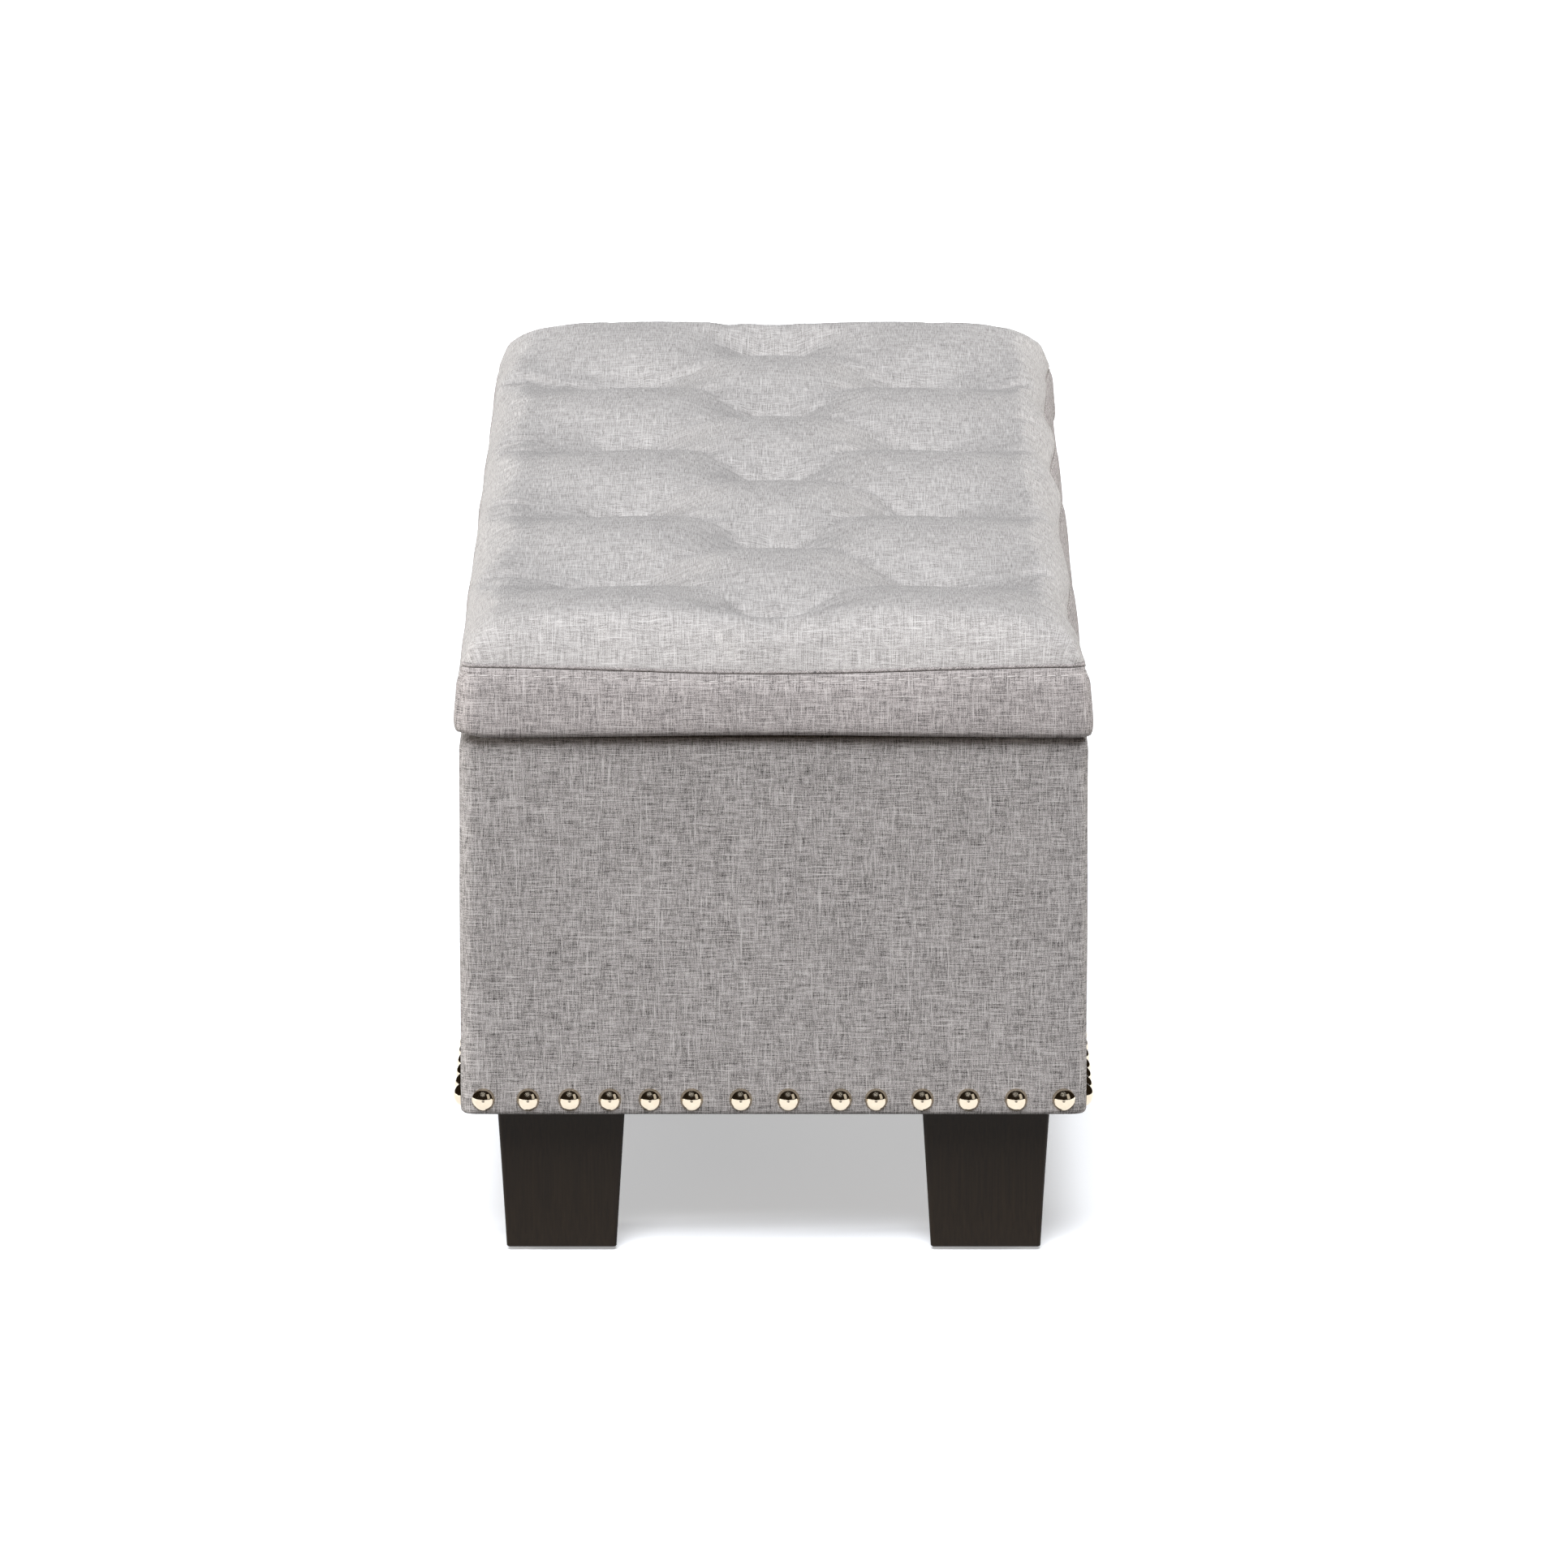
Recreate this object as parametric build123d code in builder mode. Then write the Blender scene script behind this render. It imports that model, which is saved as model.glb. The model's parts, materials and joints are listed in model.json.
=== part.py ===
"""Upholstered storage bench with a diamond-tufted lift-up lid on two gas struts.

Millimetres. X runs along the bench, Y across it with the hinges at +Y, Z up.
The origin is on the floor under the middle of the bench.
"""

import math
import os

from build123d import *

# overall
bench_length = 1200.0
bench_depth = 420.0
leg_height = 100.0
body_height = 258.0

# layers of the body
fabric_t = 1.2
padding_t = 4.0
panel_t = 12.0
lining_t = 1.0
floor_t = 9.0
dust_cover_t = 0.8
dust_cover_margin = 16.0
body_corner_r = 10.0
rim_edge_r = 9.6
hem_r = 3.0
hem_width = 26.0

# framing under the floor
cleat = 20.0
block_length = 95.0
block_width = 80.0
bearer_width = 60.0

# corner screws of the box
panel_screw_r = 2.5
panel_screw_head_r = 4.6
panel_screw_length = 45.0

# legs and their fixings
leg_top = 86.0
leg_taper = 6.0
leg_end_inset = 28.0
leg_side_inset = 24.0
leg_sabre = 5.5
leg_toe = 1.5
leg_edge_r = 2.5
bolt_r = 4.0
bolt_in_leg = 36.0
insert_r = 5.5
insert_length = 14.0
insert_flange_r = 11.0
insert_flange_t = 1.6
glide_r = 13.0
glide_t = 2.5
glide_pin_r = 1.5
glide_pin_length = 11.0
seat_clearance = 0.05

# decorative nails
nail_head_r = 7.75
nail_head_height = 5.0
nail_shank_r = 1.1
nail_shank_length = 14.0
nail_pitch = 30.0
nail_corner_inset = 15.4
nail_rise = 10.6
# drift of each hand-driven nail from even spacing
nail_drift = (0, 2, 4, 5, 6, 0, 5, 7, 10, 8, 5, 2, 0, 0)

# lid
lid_overhang = 1.5
lid_gap = 4.5
lid_corner_r = 12.0
lid_board_t = 15.0
lid_lining_t = 0.8
lid_lining_margin = 3.0
border_height = 43.5
border_t = 7.0
border_tuck = 4.5
border_draw = 1.6
welt_t = 2.4
welt_proud = 0.9
bumper_r = 3.5
bumper_clearance = 0.3
bumper_count = 4
bumper_spread = 1080.0

# tufted cushion above the seam
crown_height = 36.0
crown_fall = 1.5
shoulder_height = 18.0
tuft_wave = 8.0
tuft_depth = 7.0
tuft_mouth_r = 17.0
tuft_rows = 5
tuft_end_margin = 81.5
tuft_side_margin = 108.5
cushion_edge_run = 15.0
cushion_edge_rise = 0.6
cushion_edge_bulge = 0.22
cushion_end_run = 45.0
cushion_lip = 3.0
# places of the end sections, as shares of the rounded end
end_shares = (0, 0.09, 0.27, 0.62, 1)
twine_r = 1.5
anchor_r = 10.0
anchor_t = 1.6

# hinges
hinge_count = 3
hinge_spread = 860.0
hinge_length = 76.0
hinge_leaf_t = 2.0
hinge_leaf_width = 15.0
hinge_setback = 2.7
knuckle_r = 4.0
knuckles = 5
knuckle_gap = 0.4
knuckle_notch = 0.6
pin_r = 2.0
pin_head_r = 3.2
pin_head_t = 1.2
running_clearance = 0.05
hinge_screw_r = 1.6
hinge_screw_head_r = 3.0
hinge_screw_pitch = 27.0
hinge_screws = 3
hinge_screw_inset = 6.0
body_screw_length = 26.0
lid_screw_length = 13.0

# gas struts
strut_wall_gap = 16.0
strut_reach = 165.0
strut_drop = 16.0
strut_closed_angle = 75.0
tube_r = 7.5
tube_wall = 1.2
tube_length = 158.0
tube_end_t = 5.0
rod_r = 3.0
piston_t = 7.0
piston_rest = 4.0
guide_length = 14.0
eye_r = 7.5
eye_width = 11.0
eye_neck = 18.0
eye_neck_r = 5.0
eye_thread = 7.0
pivot_r = 4.0
pivot_head_r = 6.2
pivot_head_t = 2.0
pivot_side_gap = 0.3
bracket_t = 2.0
bracket_width = 26.0
bracket_length = 46.0
bracket_corner_r = 4.0
bracket_flange_gap = 8.6
bracket_screw_r = 2.0
bracket_screw_head_r = 3.6
bracket_screw_inset = 8.0
bracket_screw_length = 12.0

# heights
body_z = leg_height + dust_cover_t
panel_z = body_z + fabric_t
rim_z = body_z + body_height
panel_top_z = rim_z - fabric_t - padding_t
floor_z = panel_z + cleat
lining_z = floor_z + floor_t
lid_z = rim_z + lid_gap
board_z = lid_z + lid_lining_t
board_top_z = board_z + lid_board_t
cushion_z = lid_z + border_height + welt_t / 2
hinge_z = rim_z + lid_gap / 2

# plan half-sizes
body_hx = bench_length / 2
body_hy = bench_depth / 2
panel_hx = body_hx - fabric_t - padding_t
panel_hy = body_hy - fabric_t - padding_t
inner_hx = panel_hx - panel_t
inner_hy = panel_hy - panel_t
lining_hx = inner_hx - lining_t
lining_hy = inner_hy - lining_t
lid_hx = body_hx + lid_overhang
lid_hy = body_hy + lid_overhang
board_hx = lid_hx - border_t
board_hy = lid_hy - border_t
cushion_hx = lid_hx - border_draw
cushion_hy = lid_hy - border_draw
leg_x = body_hx - leg_end_inset - leg_top / 2
leg_y = body_hy - leg_side_inset - leg_top / 2
leg_spots = [(sx * leg_x, sy * leg_y) for sx in (-1, 1) for sy in (-1, 1)]

# tuft pattern: a centre row, and pairs of tufts half a pitch along
tuft_pitch = 2 * (lid_hx - tuft_end_margin) / (tuft_rows - 1)
tuft_column = lid_hy - tuft_side_margin
tuft_spots = [((k - (tuft_rows - 1) / 2) * tuft_pitch, 0) for k in range(tuft_rows)]
tuft_spots += [
    ((k - (tuft_rows - 2) / 2) * tuft_pitch, side * tuft_column)
    for k in range(tuft_rows - 1)
    for side in (-1, 1)
]
wave_mean = crown_height - tuft_wave
tuft_z = cushion_z + wave_mean - tuft_wave

# hinge line and strut pivots: both pivots are the same distance from the hinge line
hinge_y = body_hy - hinge_setback
hinge_xs = [(k / (hinge_count - 1) - 0.5) * hinge_spread for k in range(hinge_count)]
hinge_span = hinge_length + 2 * (pin_head_t + knuckle_gap)
leaf_screw_y = hinge_y - hinge_leaf_width + hinge_screw_inset
strut_x = lining_hx - strut_wall_gap
lid_pivot_y = hinge_y - strut_reach
lid_pivot_z = lid_z - strut_drop
pivot_radius = math.hypot(strut_reach, hinge_z - lid_pivot_z)
pivot_angle = math.atan2(hinge_z - lid_pivot_z, strut_reach) + math.radians(strut_closed_angle)
body_pivot_y = hinge_y - pivot_radius * math.cos(pivot_angle)
body_pivot_z = hinge_z - pivot_radius * math.sin(pivot_angle)
strut_dir = (0, lid_pivot_y - body_pivot_y, lid_pivot_z - body_pivot_z)
strut_closed = math.hypot(*strut_dir)
SIDES = {"left": -1, "right": 1}


def save(builder, name):
    """Label a finished piece and write it."""
    builder.part.label = name
    export_step(builder.part, f"parts/{name}.step")


def wall_plane(nx, ny, distance, z):
    """Upright plane facing (nx, ny), its own X level and its own Y up."""
    return Plane(origin=(nx * distance, ny * distance, z), x_dir=(-ny, nx, 0), z_dir=(nx, ny, 0))


def scatter(name, shape, spots):
    """Save copies of one shape, at points or planes, as one piece."""
    with BuildPart() as group:
        with Locations(*spots):
            add(shape)
    save(group, name)


def block(z, half_x, half_y, height, x=0, y=0, mode=Mode.ADD):
    """Extrude a rectangle upwards from height z, inside a part."""
    with BuildSketch(Plane.XY.offset(z)) as outline:
        with Locations((x, y)):
            Rectangle(2 * half_x, 2 * half_y)
    extrude(outline.sketch, amount=height, mode=mode)


def body_form(inset):
    """The body's soft outline drawn in by a layer: rounded corners, rim and hem."""
    with BuildPart() as form:
        with BuildSketch(Plane.XY.offset(body_z + inset)):
            RectangleRounded(2 * (body_hx - inset), 2 * (body_hy - inset), body_corner_r - inset)
        extrude(amount=body_height - 2 * inset)
        fillet(form.edges().group_by(Axis.Z)[-1], rim_edge_r - inset)
        fillet(form.edges().group_by(Axis.Z)[0], hem_r - inset)
    return form.part


def screw(radius, head_r, length):
    """Countersunk screw pointing down from the origin."""
    with BuildPart() as turned:
        with BuildSketch(Plane.XZ):
            with BuildLine():
                Polyline(
                    (0, 0),
                    (head_r, 0),
                    (radius, radius - head_r),
                    (radius, radius - length),
                    (0, -length),
                    close=True,
                )
            make_face()
        revolve(axis=Axis.Z)
    return turned.part


def corner_screw_points():
    """Corner screw places on a long panel's own plane, clear of the strut bracket's screws."""
    heights = ((panel_z + body_pivot_z) / 2, body_pivot_z, (body_pivot_z + panel_top_z) / 2)
    return [(end * (panel_hx - panel_t / 2), z - panel_z) for end in (-1, 1) for z in heights]


def long_panel(name, side):
    """Plywood front or rear panel, countersunk for the corner screws."""
    with BuildPart() as panel:
        block(panel_z, panel_hx, panel_t / 2, panel_top_z - panel_z, y=side * (panel_hy - panel_t / 2))
        with Locations(wall_plane(0, side, panel_hy, panel_z)):
            with Locations(*corner_screw_points()):
                CounterSinkHole(panel_screw_r + seat_clearance, panel_screw_head_r, 2 * panel_t, 90)
    save(panel, name)


def end_panel(name, side):
    """Plywood end panel between the long panels, bored in its edges."""
    with BuildPart() as panel:
        block(panel_z, panel_t / 2, inner_hy, panel_top_z - panel_z, x=side * (panel_hx - panel_t / 2))
        for edge in (-1, 1):
            own_end = [p for p in corner_screw_points() if p[0] * edge * side < 0]
            with Locations(wall_plane(0, edge, inner_hy, panel_z)):
                with Locations(*own_end):
                    Hole(panel_screw_r + seat_clearance, panel_screw_length - panel_t)
    save(panel, name)


def leg(name, sx, sy):
    """Tapered block leg with a hollowed outer end face."""
    half = leg_top / 2
    x, y = sx * leg_x, sy * leg_y
    middle = (leg_height + glide_t) / 2
    with BuildPart() as post:
        with BuildSketch(Plane.XZ.offset(-y)):
            with BuildLine():
                Line((x + sx * half, leg_height), (x - sx * half, leg_height))
                Line((x - sx * half, leg_height), (x - sx * (half - 2 * leg_taper), glide_t))
                Line((x - sx * (half - 2 * leg_taper), glide_t), (x + sx * (half - leg_toe), glide_t))
                ThreePointArc(
                    (x + sx * (half - leg_toe), glide_t),
                    (x + sx * (half - leg_sabre), middle),
                    (x + sx * half, leg_height),
                )
            make_face()
        extrude(amount=half, both=True)
        with BuildSketch(Plane.YZ.offset(x)):
            with BuildLine():
                Polyline(
                    (y - half, leg_height),
                    (y + half, leg_height),
                    (y + half - leg_taper, glide_t),
                    (y - half + leg_taper, glide_t),
                    close=True,
                )
            make_face()
        extrude(amount=leg_top, both=True, mode=Mode.INTERSECT)
        corners = post.edges().filter_by_position(Axis.Z, glide_t + leg_taper, leg_height - leg_taper)
        fillet(corners, leg_edge_r)
        fillet(post.edges().group_by(Axis.Z)[0], leg_edge_r / 2)
        with Locations((x, y, leg_height)):
            Hole(bolt_r + seat_clearance, bolt_in_leg)
        with Locations(Plane(origin=(x, y, glide_t), z_dir=(0, 0, -1))):
            Hole(glide_pin_r + seat_clearance, glide_pin_length)
    save(post, name)


def nail_row(name, shape, nx, ny, half_run):
    """Domed nails in a row along one side, each a little off even spacing."""
    half_span = half_run - nail_corner_inset
    count = round(2 * half_span / nail_pitch) + 1
    step = 2 * half_span / (count - 1)
    drift = [nail_drift[k % len(nail_drift)] if k < count - 1 else 0 for k in range(count)]
    face = wall_plane(nx, ny, body_hx if nx else body_hy, body_z + nail_rise)
    with BuildPart() as row:
        with Locations(face):
            with Locations(*[(half_span - k * step - drift[k], 0) for k in range(count)]):
                add(shape)
    save(row, name)


def hinge_leaves(name, plate_z, first):
    """One leaf of every hinge: plate, its own knuckles and the pin bore."""
    step = hinge_length / knuckles
    with BuildPart() as leaves:
        for x in hinge_xs:
            start = x - hinge_length / 2
            block(
                plate_z,
                hinge_length / 2,
                hinge_leaf_width / 2,
                hinge_leaf_t,
                x=x,
                y=hinge_y - hinge_leaf_width / 2,
            )
            for k in range(knuckles):
                own = k % 2 == first
                with BuildSketch(Plane.YZ.offset(start + k * step + (knuckle_gap / 2 if own else 0))):
                    with Locations((hinge_y, hinge_z)):
                        Circle(knuckle_r if own else knuckle_r + knuckle_gap)
                if own:
                    extrude(amount=step - knuckle_gap)
                else:
                    extrude(amount=step, mode=Mode.SUBTRACT)
            with BuildSketch(Plane.YZ.offset(start)):
                with Locations((hinge_y, hinge_z)):
                    Circle(pin_r + running_clearance)
            extrude(amount=hinge_length, mode=Mode.SUBTRACT)
        head_z, facing = (rim_z + hinge_leaf_t, 1) if first == 0 else (lid_z - hinge_leaf_t, -1)
        with Locations(*leaf_screw_planes(head_z, facing)):
            CounterSinkHole(hinge_screw_r + seat_clearance, hinge_screw_head_r, 2 * hinge_leaf_t, 90)
    save(leaves, name)


def leaf_screw_planes(z, facing):
    """Planes for the screw heads of one leaf, facing up or down."""
    offsets = [(k - (hinge_screws - 1) / 2) * hinge_screw_pitch for k in range(hinge_screws)]
    return [
        Plane(origin=(x + offset, leaf_screw_y, z), z_dir=(0, 0, facing))
        for x in hinge_xs
        for offset in offsets
    ]


def cushion_section(x):
    """Draw the cushion's cross-section above the seam at one place along the bench."""
    from_end = cushion_hx - abs(x)
    to_crown = max(1 - from_end / cushion_end_run, 0)
    rise = cushion_lip / crown_height
    rise += (1 - rise) * math.sqrt(1 - to_crown**2)
    wave = tuft_wave * math.cos(2 * math.pi * x / tuft_pitch)
    near, far, brow = tuft_column / 2, 1.5 * tuft_column, cushion_hy - cushion_edge_run
    heights = {
        "middle": wave_mean - wave,
        "near": wave_mean - crown_fall,
        "column": wave_mean + wave,
        "far": wave_mean - 2 * crown_fall,
        "brow": shoulder_height,
        "brow_far": (wave_mean - 2 * crown_fall + shoulder_height) / 2 + crown_fall,
        "edge": shoulder_height * cushion_edge_rise,
    }
    z = {place: cushion_z + height * rise for place, height in heights.items()}
    with BuildSketch(Plane.YZ.offset(x)) as section:
        with BuildLine():
            Polyline(
                (cushion_hy, cushion_z),
                (cushion_hy, cushion_z - cushion_lip),
                (-cushion_hy, cushion_z - cushion_lip),
                (-cushion_hy, cushion_z),
            )
            ThreePointArc((-near, z["near"]), (0, z["middle"]), (near, z["near"]))
            for s in (-1, 1):
                ThreePointArc((s * near, z["near"]), (s * tuft_column, z["column"]), (s * far, z["far"]))
                ThreePointArc(
                    (s * far, z["far"]),
                    (s * (far + brow) / 2, z["brow_far"]),
                    (s * brow, z["brow"]),
                )
                ThreePointArc(
                    (s * brow, z["brow"]),
                    (s * (cushion_hy - cushion_edge_run * cushion_edge_bulge), z["edge"]),
                    (s * cushion_hy, cushion_z),
                )
        make_face()
    return section.sketch


def strut_plane(side, y, z, turn):
    """Plane at a strut pivot, Z along the strut and X towards the near end panel."""
    return Plane(
        origin=(side * strut_x, y, z),
        x_dir=(side, 0, 0),
        z_dir=(0, turn * strut_dir[1], turn * strut_dir[2]),
    )


def pin_plane(side, y, z):
    """Plane at a strut pivot, Z along its pin towards the near end panel."""
    return Plane(origin=(side * strut_x, y, z), x_dir=(0, side, 0), z_dir=(side, 0, 0))


def pivot_pin(length):
    """Riveted pin along Z through an eye at the origin: head, shank and a collar up to its plate."""
    eye_side = eye_width / 2 + pivot_side_gap
    for start, radius, reach in (
        (-eye_side - pivot_head_t, pivot_head_r, pivot_head_t),
        (-eye_side, pivot_r, 2 * eye_side),
        (eye_side, pivot_head_r, length - eye_side),
    ):
        with Locations((0, 0, start)):
            Cylinder(radius, reach, align=(Align.CENTER, Align.CENTER, Align.MIN))


def placed(name, shape, plane):
    """Save one shape moved to a plane."""
    with BuildPart() as piece:
        with Locations(plane):
            add(shape)
    save(piece, name)


os.makedirs("parts", exist_ok=True)

# box
long_panel("front_panel", -1)
long_panel("rear_panel", 1)
end_panel("left_end_panel", -1)
end_panel("right_end_panel", 1)

corner_screw = screw(panel_screw_r, panel_screw_head_r, panel_screw_length)
with BuildPart() as panel_screws:
    for side in (-1, 1):
        with Locations(wall_plane(0, side, panel_hy, panel_z)):
            with Locations(*corner_screw_points()):
                add(corner_screw)
save(panel_screws, "panel_screws")

for name, sy in (("front_cleat", -1), ("rear_cleat", 1)):
    with BuildPart() as long_cleat:
        block(panel_z, inner_hx - block_length, cleat / 2, cleat, y=sy * (inner_hy - cleat / 2))
    save(long_cleat, name)

for name, sx in (("left_cleat", -1), ("right_cleat", 1)):
    with BuildPart() as end_cleat:
        block(panel_z, cleat / 2, inner_hy - block_width, cleat, x=sx * (inner_hx - cleat / 2))
    save(end_cleat, name)

with BuildPart() as centre_bearer:
    block(panel_z, bearer_width / 2, inner_hy - cleat, cleat)
save(centre_bearer, "centre_bearer")

with BuildPart() as corner_blocks:
    for sx in (-1, 1):
        for sy in (-1, 1):
            block(
                panel_z,
                block_length / 2,
                block_width / 2,
                cleat,
                x=sx * (inner_hx - block_length / 2),
                y=sy * (inner_hy - block_width / 2),
            )
    with Locations(*[(x, y, floor_z) for x, y in leg_spots]):
        CounterBoreHole(insert_r + seat_clearance, insert_flange_r + seat_clearance, insert_flange_t, cleat)
save(corner_blocks, "corner_blocks")

with BuildPart() as floor_panel:
    block(floor_z, inner_hx, inner_hy, floor_t)
save(floor_panel, "floor_panel")

# soft layers of the body
with BuildPart() as body_cover:
    add(body_form(0))
    add(body_form(fabric_t), mode=Mode.SUBTRACT)
    block(rim_z - fabric_t, lining_hx, lining_hy, fabric_t, mode=Mode.SUBTRACT)
    block(body_z, body_hx - hem_width, body_hy - hem_width, fabric_t, mode=Mode.SUBTRACT)
save(body_cover, "body_cover")

with BuildPart() as body_padding:
    add(body_form(fabric_t))
    block(panel_z, panel_hx, panel_hy, panel_top_z - panel_z, mode=Mode.SUBTRACT)
    block(panel_top_z, inner_hx, inner_hy, rim_z - panel_top_z, mode=Mode.SUBTRACT)
save(body_padding, "body_padding")

with BuildPart() as storage_lining:
    block(lining_z, inner_hx, inner_hy, rim_z - fabric_t - lining_z)
    block(lining_z + lining_t, lining_hx, lining_hy, rim_z - lining_z, mode=Mode.SUBTRACT)
save(storage_lining, "storage_lining")

with BuildPart() as dust_cover:
    block(leg_height, body_hx - dust_cover_margin, body_hy - dust_cover_margin, dust_cover_t)
    with Locations(*[(x, y, body_z) for x, y in leg_spots]):
        Hole(bolt_r + seat_clearance)
save(dust_cover, "dust_cover")

# legs
leg("leg_front_left", -1, -1)
leg("leg_rear_left", -1, 1)
leg("leg_front_right", 1, -1)
leg("leg_rear_right", 1, 1)

with BuildPart() as leg_bolt:
    with BuildSketch(Plane.XY.offset(leg_height - bolt_in_leg)):
        Circle(bolt_r)
    extrude(amount=bolt_in_leg + floor_z - leg_height)
scatter("leg_bolts", leg_bolt.part, leg_spots)

with BuildPart() as leg_insert:
    with BuildSketch(Plane.XY.offset(floor_z - insert_flange_t)):
        Circle(insert_flange_r)
    extrude(amount=insert_flange_t)
    with BuildSketch(Plane.XY.offset(floor_z - insert_length)):
        Circle(insert_r)
    extrude(amount=insert_length)
    with Locations((0, 0, floor_z)):
        Hole(bolt_r + seat_clearance)
scatter("leg_inserts", leg_insert.part, leg_spots)

with BuildPart() as leg_glide:
    with BuildSketch():
        Circle(glide_r)
    extrude(amount=glide_t)
    chamfer(leg_glide.edges().group_by(Axis.Z)[0], glide_t / 2)
    with BuildSketch(Plane.XY.offset(glide_t)):
        Circle(glide_pin_r)
    extrude(amount=glide_pin_length)
scatter("leg_glides", leg_glide.part, leg_spots)

# decorative nails
dome_r = (nail_head_r**2 + nail_head_height**2) / (2 * nail_head_height)
haunch_r = nail_head_r / 2
haunch_z = nail_head_height - dome_r + math.sqrt(dome_r**2 - haunch_r**2)
with BuildPart() as nail:
    with BuildSketch(Plane.XZ):
        with BuildLine():
            ThreePointArc((0, nail_head_height), (haunch_r, haunch_z), (nail_head_r, 0))
            Polyline(
                (nail_head_r, 0),
                (nail_shank_r, 0),
                (nail_shank_r, 2 * nail_shank_r - nail_shank_length),
                (0, -nail_shank_length),
                (0, nail_head_height),
            )
        make_face()
    revolve(axis=Axis.Z)
nail_row("nails_front", nail.part, 0, -1, body_hx)
nail_row("nails_rear", nail.part, 0, 1, body_hx)
nail_row("nails_left", nail.part, -1, 0, body_hy)
nail_row("nails_right", nail.part, 1, 0, body_hy)

# lid board and border
with BuildPart() as lid_board:
    block(board_z, board_hx, board_hy, lid_board_t)
    with Locations(*[Plane(origin=(x, y, board_z), z_dir=(0, 0, -1)) for x, y in tuft_spots]):
        CounterBoreHole(twine_r + seat_clearance, anchor_r + seat_clearance, anchor_t, lid_board_t)
save(lid_board, "lid_board")

with BuildPart() as lid_lining:
    block(lid_z, board_hx - lid_lining_margin, board_hy - lid_lining_margin, lid_lining_t)
save(lid_lining, "lid_lining")

band_height = border_height - welt_t / 2
# share of the band's height, and how far it is drawn in there
band_profile = ((0, border_tuck), (0.1, border_draw), (0.5, 0), (0.9, border_draw / 2), (1, border_draw))
with BuildPart() as lid_border:
    for level, inset in band_profile:
        with BuildSketch(Plane.XY.offset(lid_z + level * band_height)):
            RectangleRounded(2 * (lid_hx - inset), 2 * (lid_hy - inset), lid_corner_r)
    loft()
    block(lid_z, board_hx, board_hy, band_height, mode=Mode.SUBTRACT)
    for x in hinge_xs:
        with BuildSketch(Plane.YZ.offset(x)):
            with Locations((hinge_y, hinge_z)):
                Circle(knuckle_r + knuckle_notch)
        extrude(amount=hinge_span / 2, both=True, mode=Mode.SUBTRACT)
save(lid_border, "lid_border")

welt_inset = border_draw - welt_proud
with BuildPart() as seat_welt:
    with BuildSketch(Plane.XY.offset(cushion_z - welt_t)):
        RectangleRounded(2 * (lid_hx - welt_inset), 2 * (lid_hy - welt_inset), lid_corner_r)
        Rectangle(2 * board_hx, 2 * board_hy, mode=Mode.SUBTRACT)
    extrude(amount=welt_t)
save(seat_welt, "seat_welt")

# tufted cushion
end_steps = [cushion_end_run * share for share in end_shares]
quarter_rows = 2 * (tuft_rows - 1)
stations = [k * tuft_pitch / 4 for k in range(-quarter_rows, quarter_rows + 1)]
stations += [end * (cushion_hx - step) for end in (-1, 1) for step in end_steps]
with BuildPart() as seat_cushion:
    loft([cushion_section(station) for station in sorted(stations)])
    block(cushion_z - 2 * cushion_lip, body_hx * 2, body_hy * 2, 2 * cushion_lip, mode=Mode.SUBTRACT)
    for sx in (-1, 1):
        for sy in (-1, 1):
            with BuildSketch(Plane.XY.offset(cushion_z - cushion_lip)):
                with Locations((sx * cushion_hx, sy * cushion_hy)):
                    Rectangle(2 * lid_corner_r, 2 * lid_corner_r)
                with Locations((sx * (cushion_hx - lid_corner_r), sy * (cushion_hy - lid_corner_r))):
                    Circle(lid_corner_r + crown_fall / 2, mode=Mode.SUBTRACT)
            extrude(amount=2 * crown_height, mode=Mode.SUBTRACT)
    block(board_top_z, board_hx, board_hy, cushion_z - board_top_z)
    with BuildSketch(Plane.XZ, mode=Mode.PRIVATE) as funnel:
        with BuildLine():
            Line((0, tuft_z + crown_height), (0, tuft_z - tuft_depth))
            ThreePointArc(
                (0, tuft_z - tuft_depth),
                (tuft_mouth_r / 3, tuft_z - tuft_depth / 5),
                (tuft_mouth_r, tuft_z + tuft_depth / 2),
            )
            Polyline(
                (tuft_mouth_r, tuft_z + tuft_depth / 2),
                (tuft_mouth_r, tuft_z + crown_height),
                (0, tuft_z + crown_height),
            )
        make_face()
    with Locations(*tuft_spots):
        add(revolve(funnel.sketch, axis=Axis.Z, mode=Mode.PRIVATE), mode=Mode.SUBTRACT)
save(seat_cushion, "seat_cushion")

with BuildPart() as tuft_twine:
    with BuildSketch(Plane.XY.offset(board_z)):
        Circle(twine_r)
    extrude(amount=tuft_z - tuft_depth + twine_r - board_z)
scatter("tuft_twines", tuft_twine.part, tuft_spots)

with BuildPart() as tuft_anchor:
    with BuildSketch(Plane.XY.offset(board_z)):
        Circle(anchor_r)
        Circle(twine_r + seat_clearance, mode=Mode.SUBTRACT)
    extrude(amount=anchor_t)
scatter("tuft_anchors", tuft_anchor.part, tuft_spots)

with BuildPart() as lid_bumper:
    with BuildSketch(Plane.XY.offset(rim_z + bumper_clearance)):
        Circle(bumper_r)
    extrude(amount=lid_gap - bumper_clearance)
    chamfer(lid_bumper.edges().group_by(Axis.Z)[0], bumper_clearance)
bumper_y = -(lining_hy + body_hy - rim_edge_r) / 2
bumper_spots = [((k / (bumper_count - 1) - 0.5) * bumper_spread, bumper_y) for k in range(bumper_count)]
scatter("lid_bumpers", lid_bumper.part, bumper_spots)

# hinges
hinge_leaves("hinge_body_leaves", rim_z, 0)
hinge_leaves("hinge_lid_leaves", lid_z - hinge_leaf_t, 1)

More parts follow.
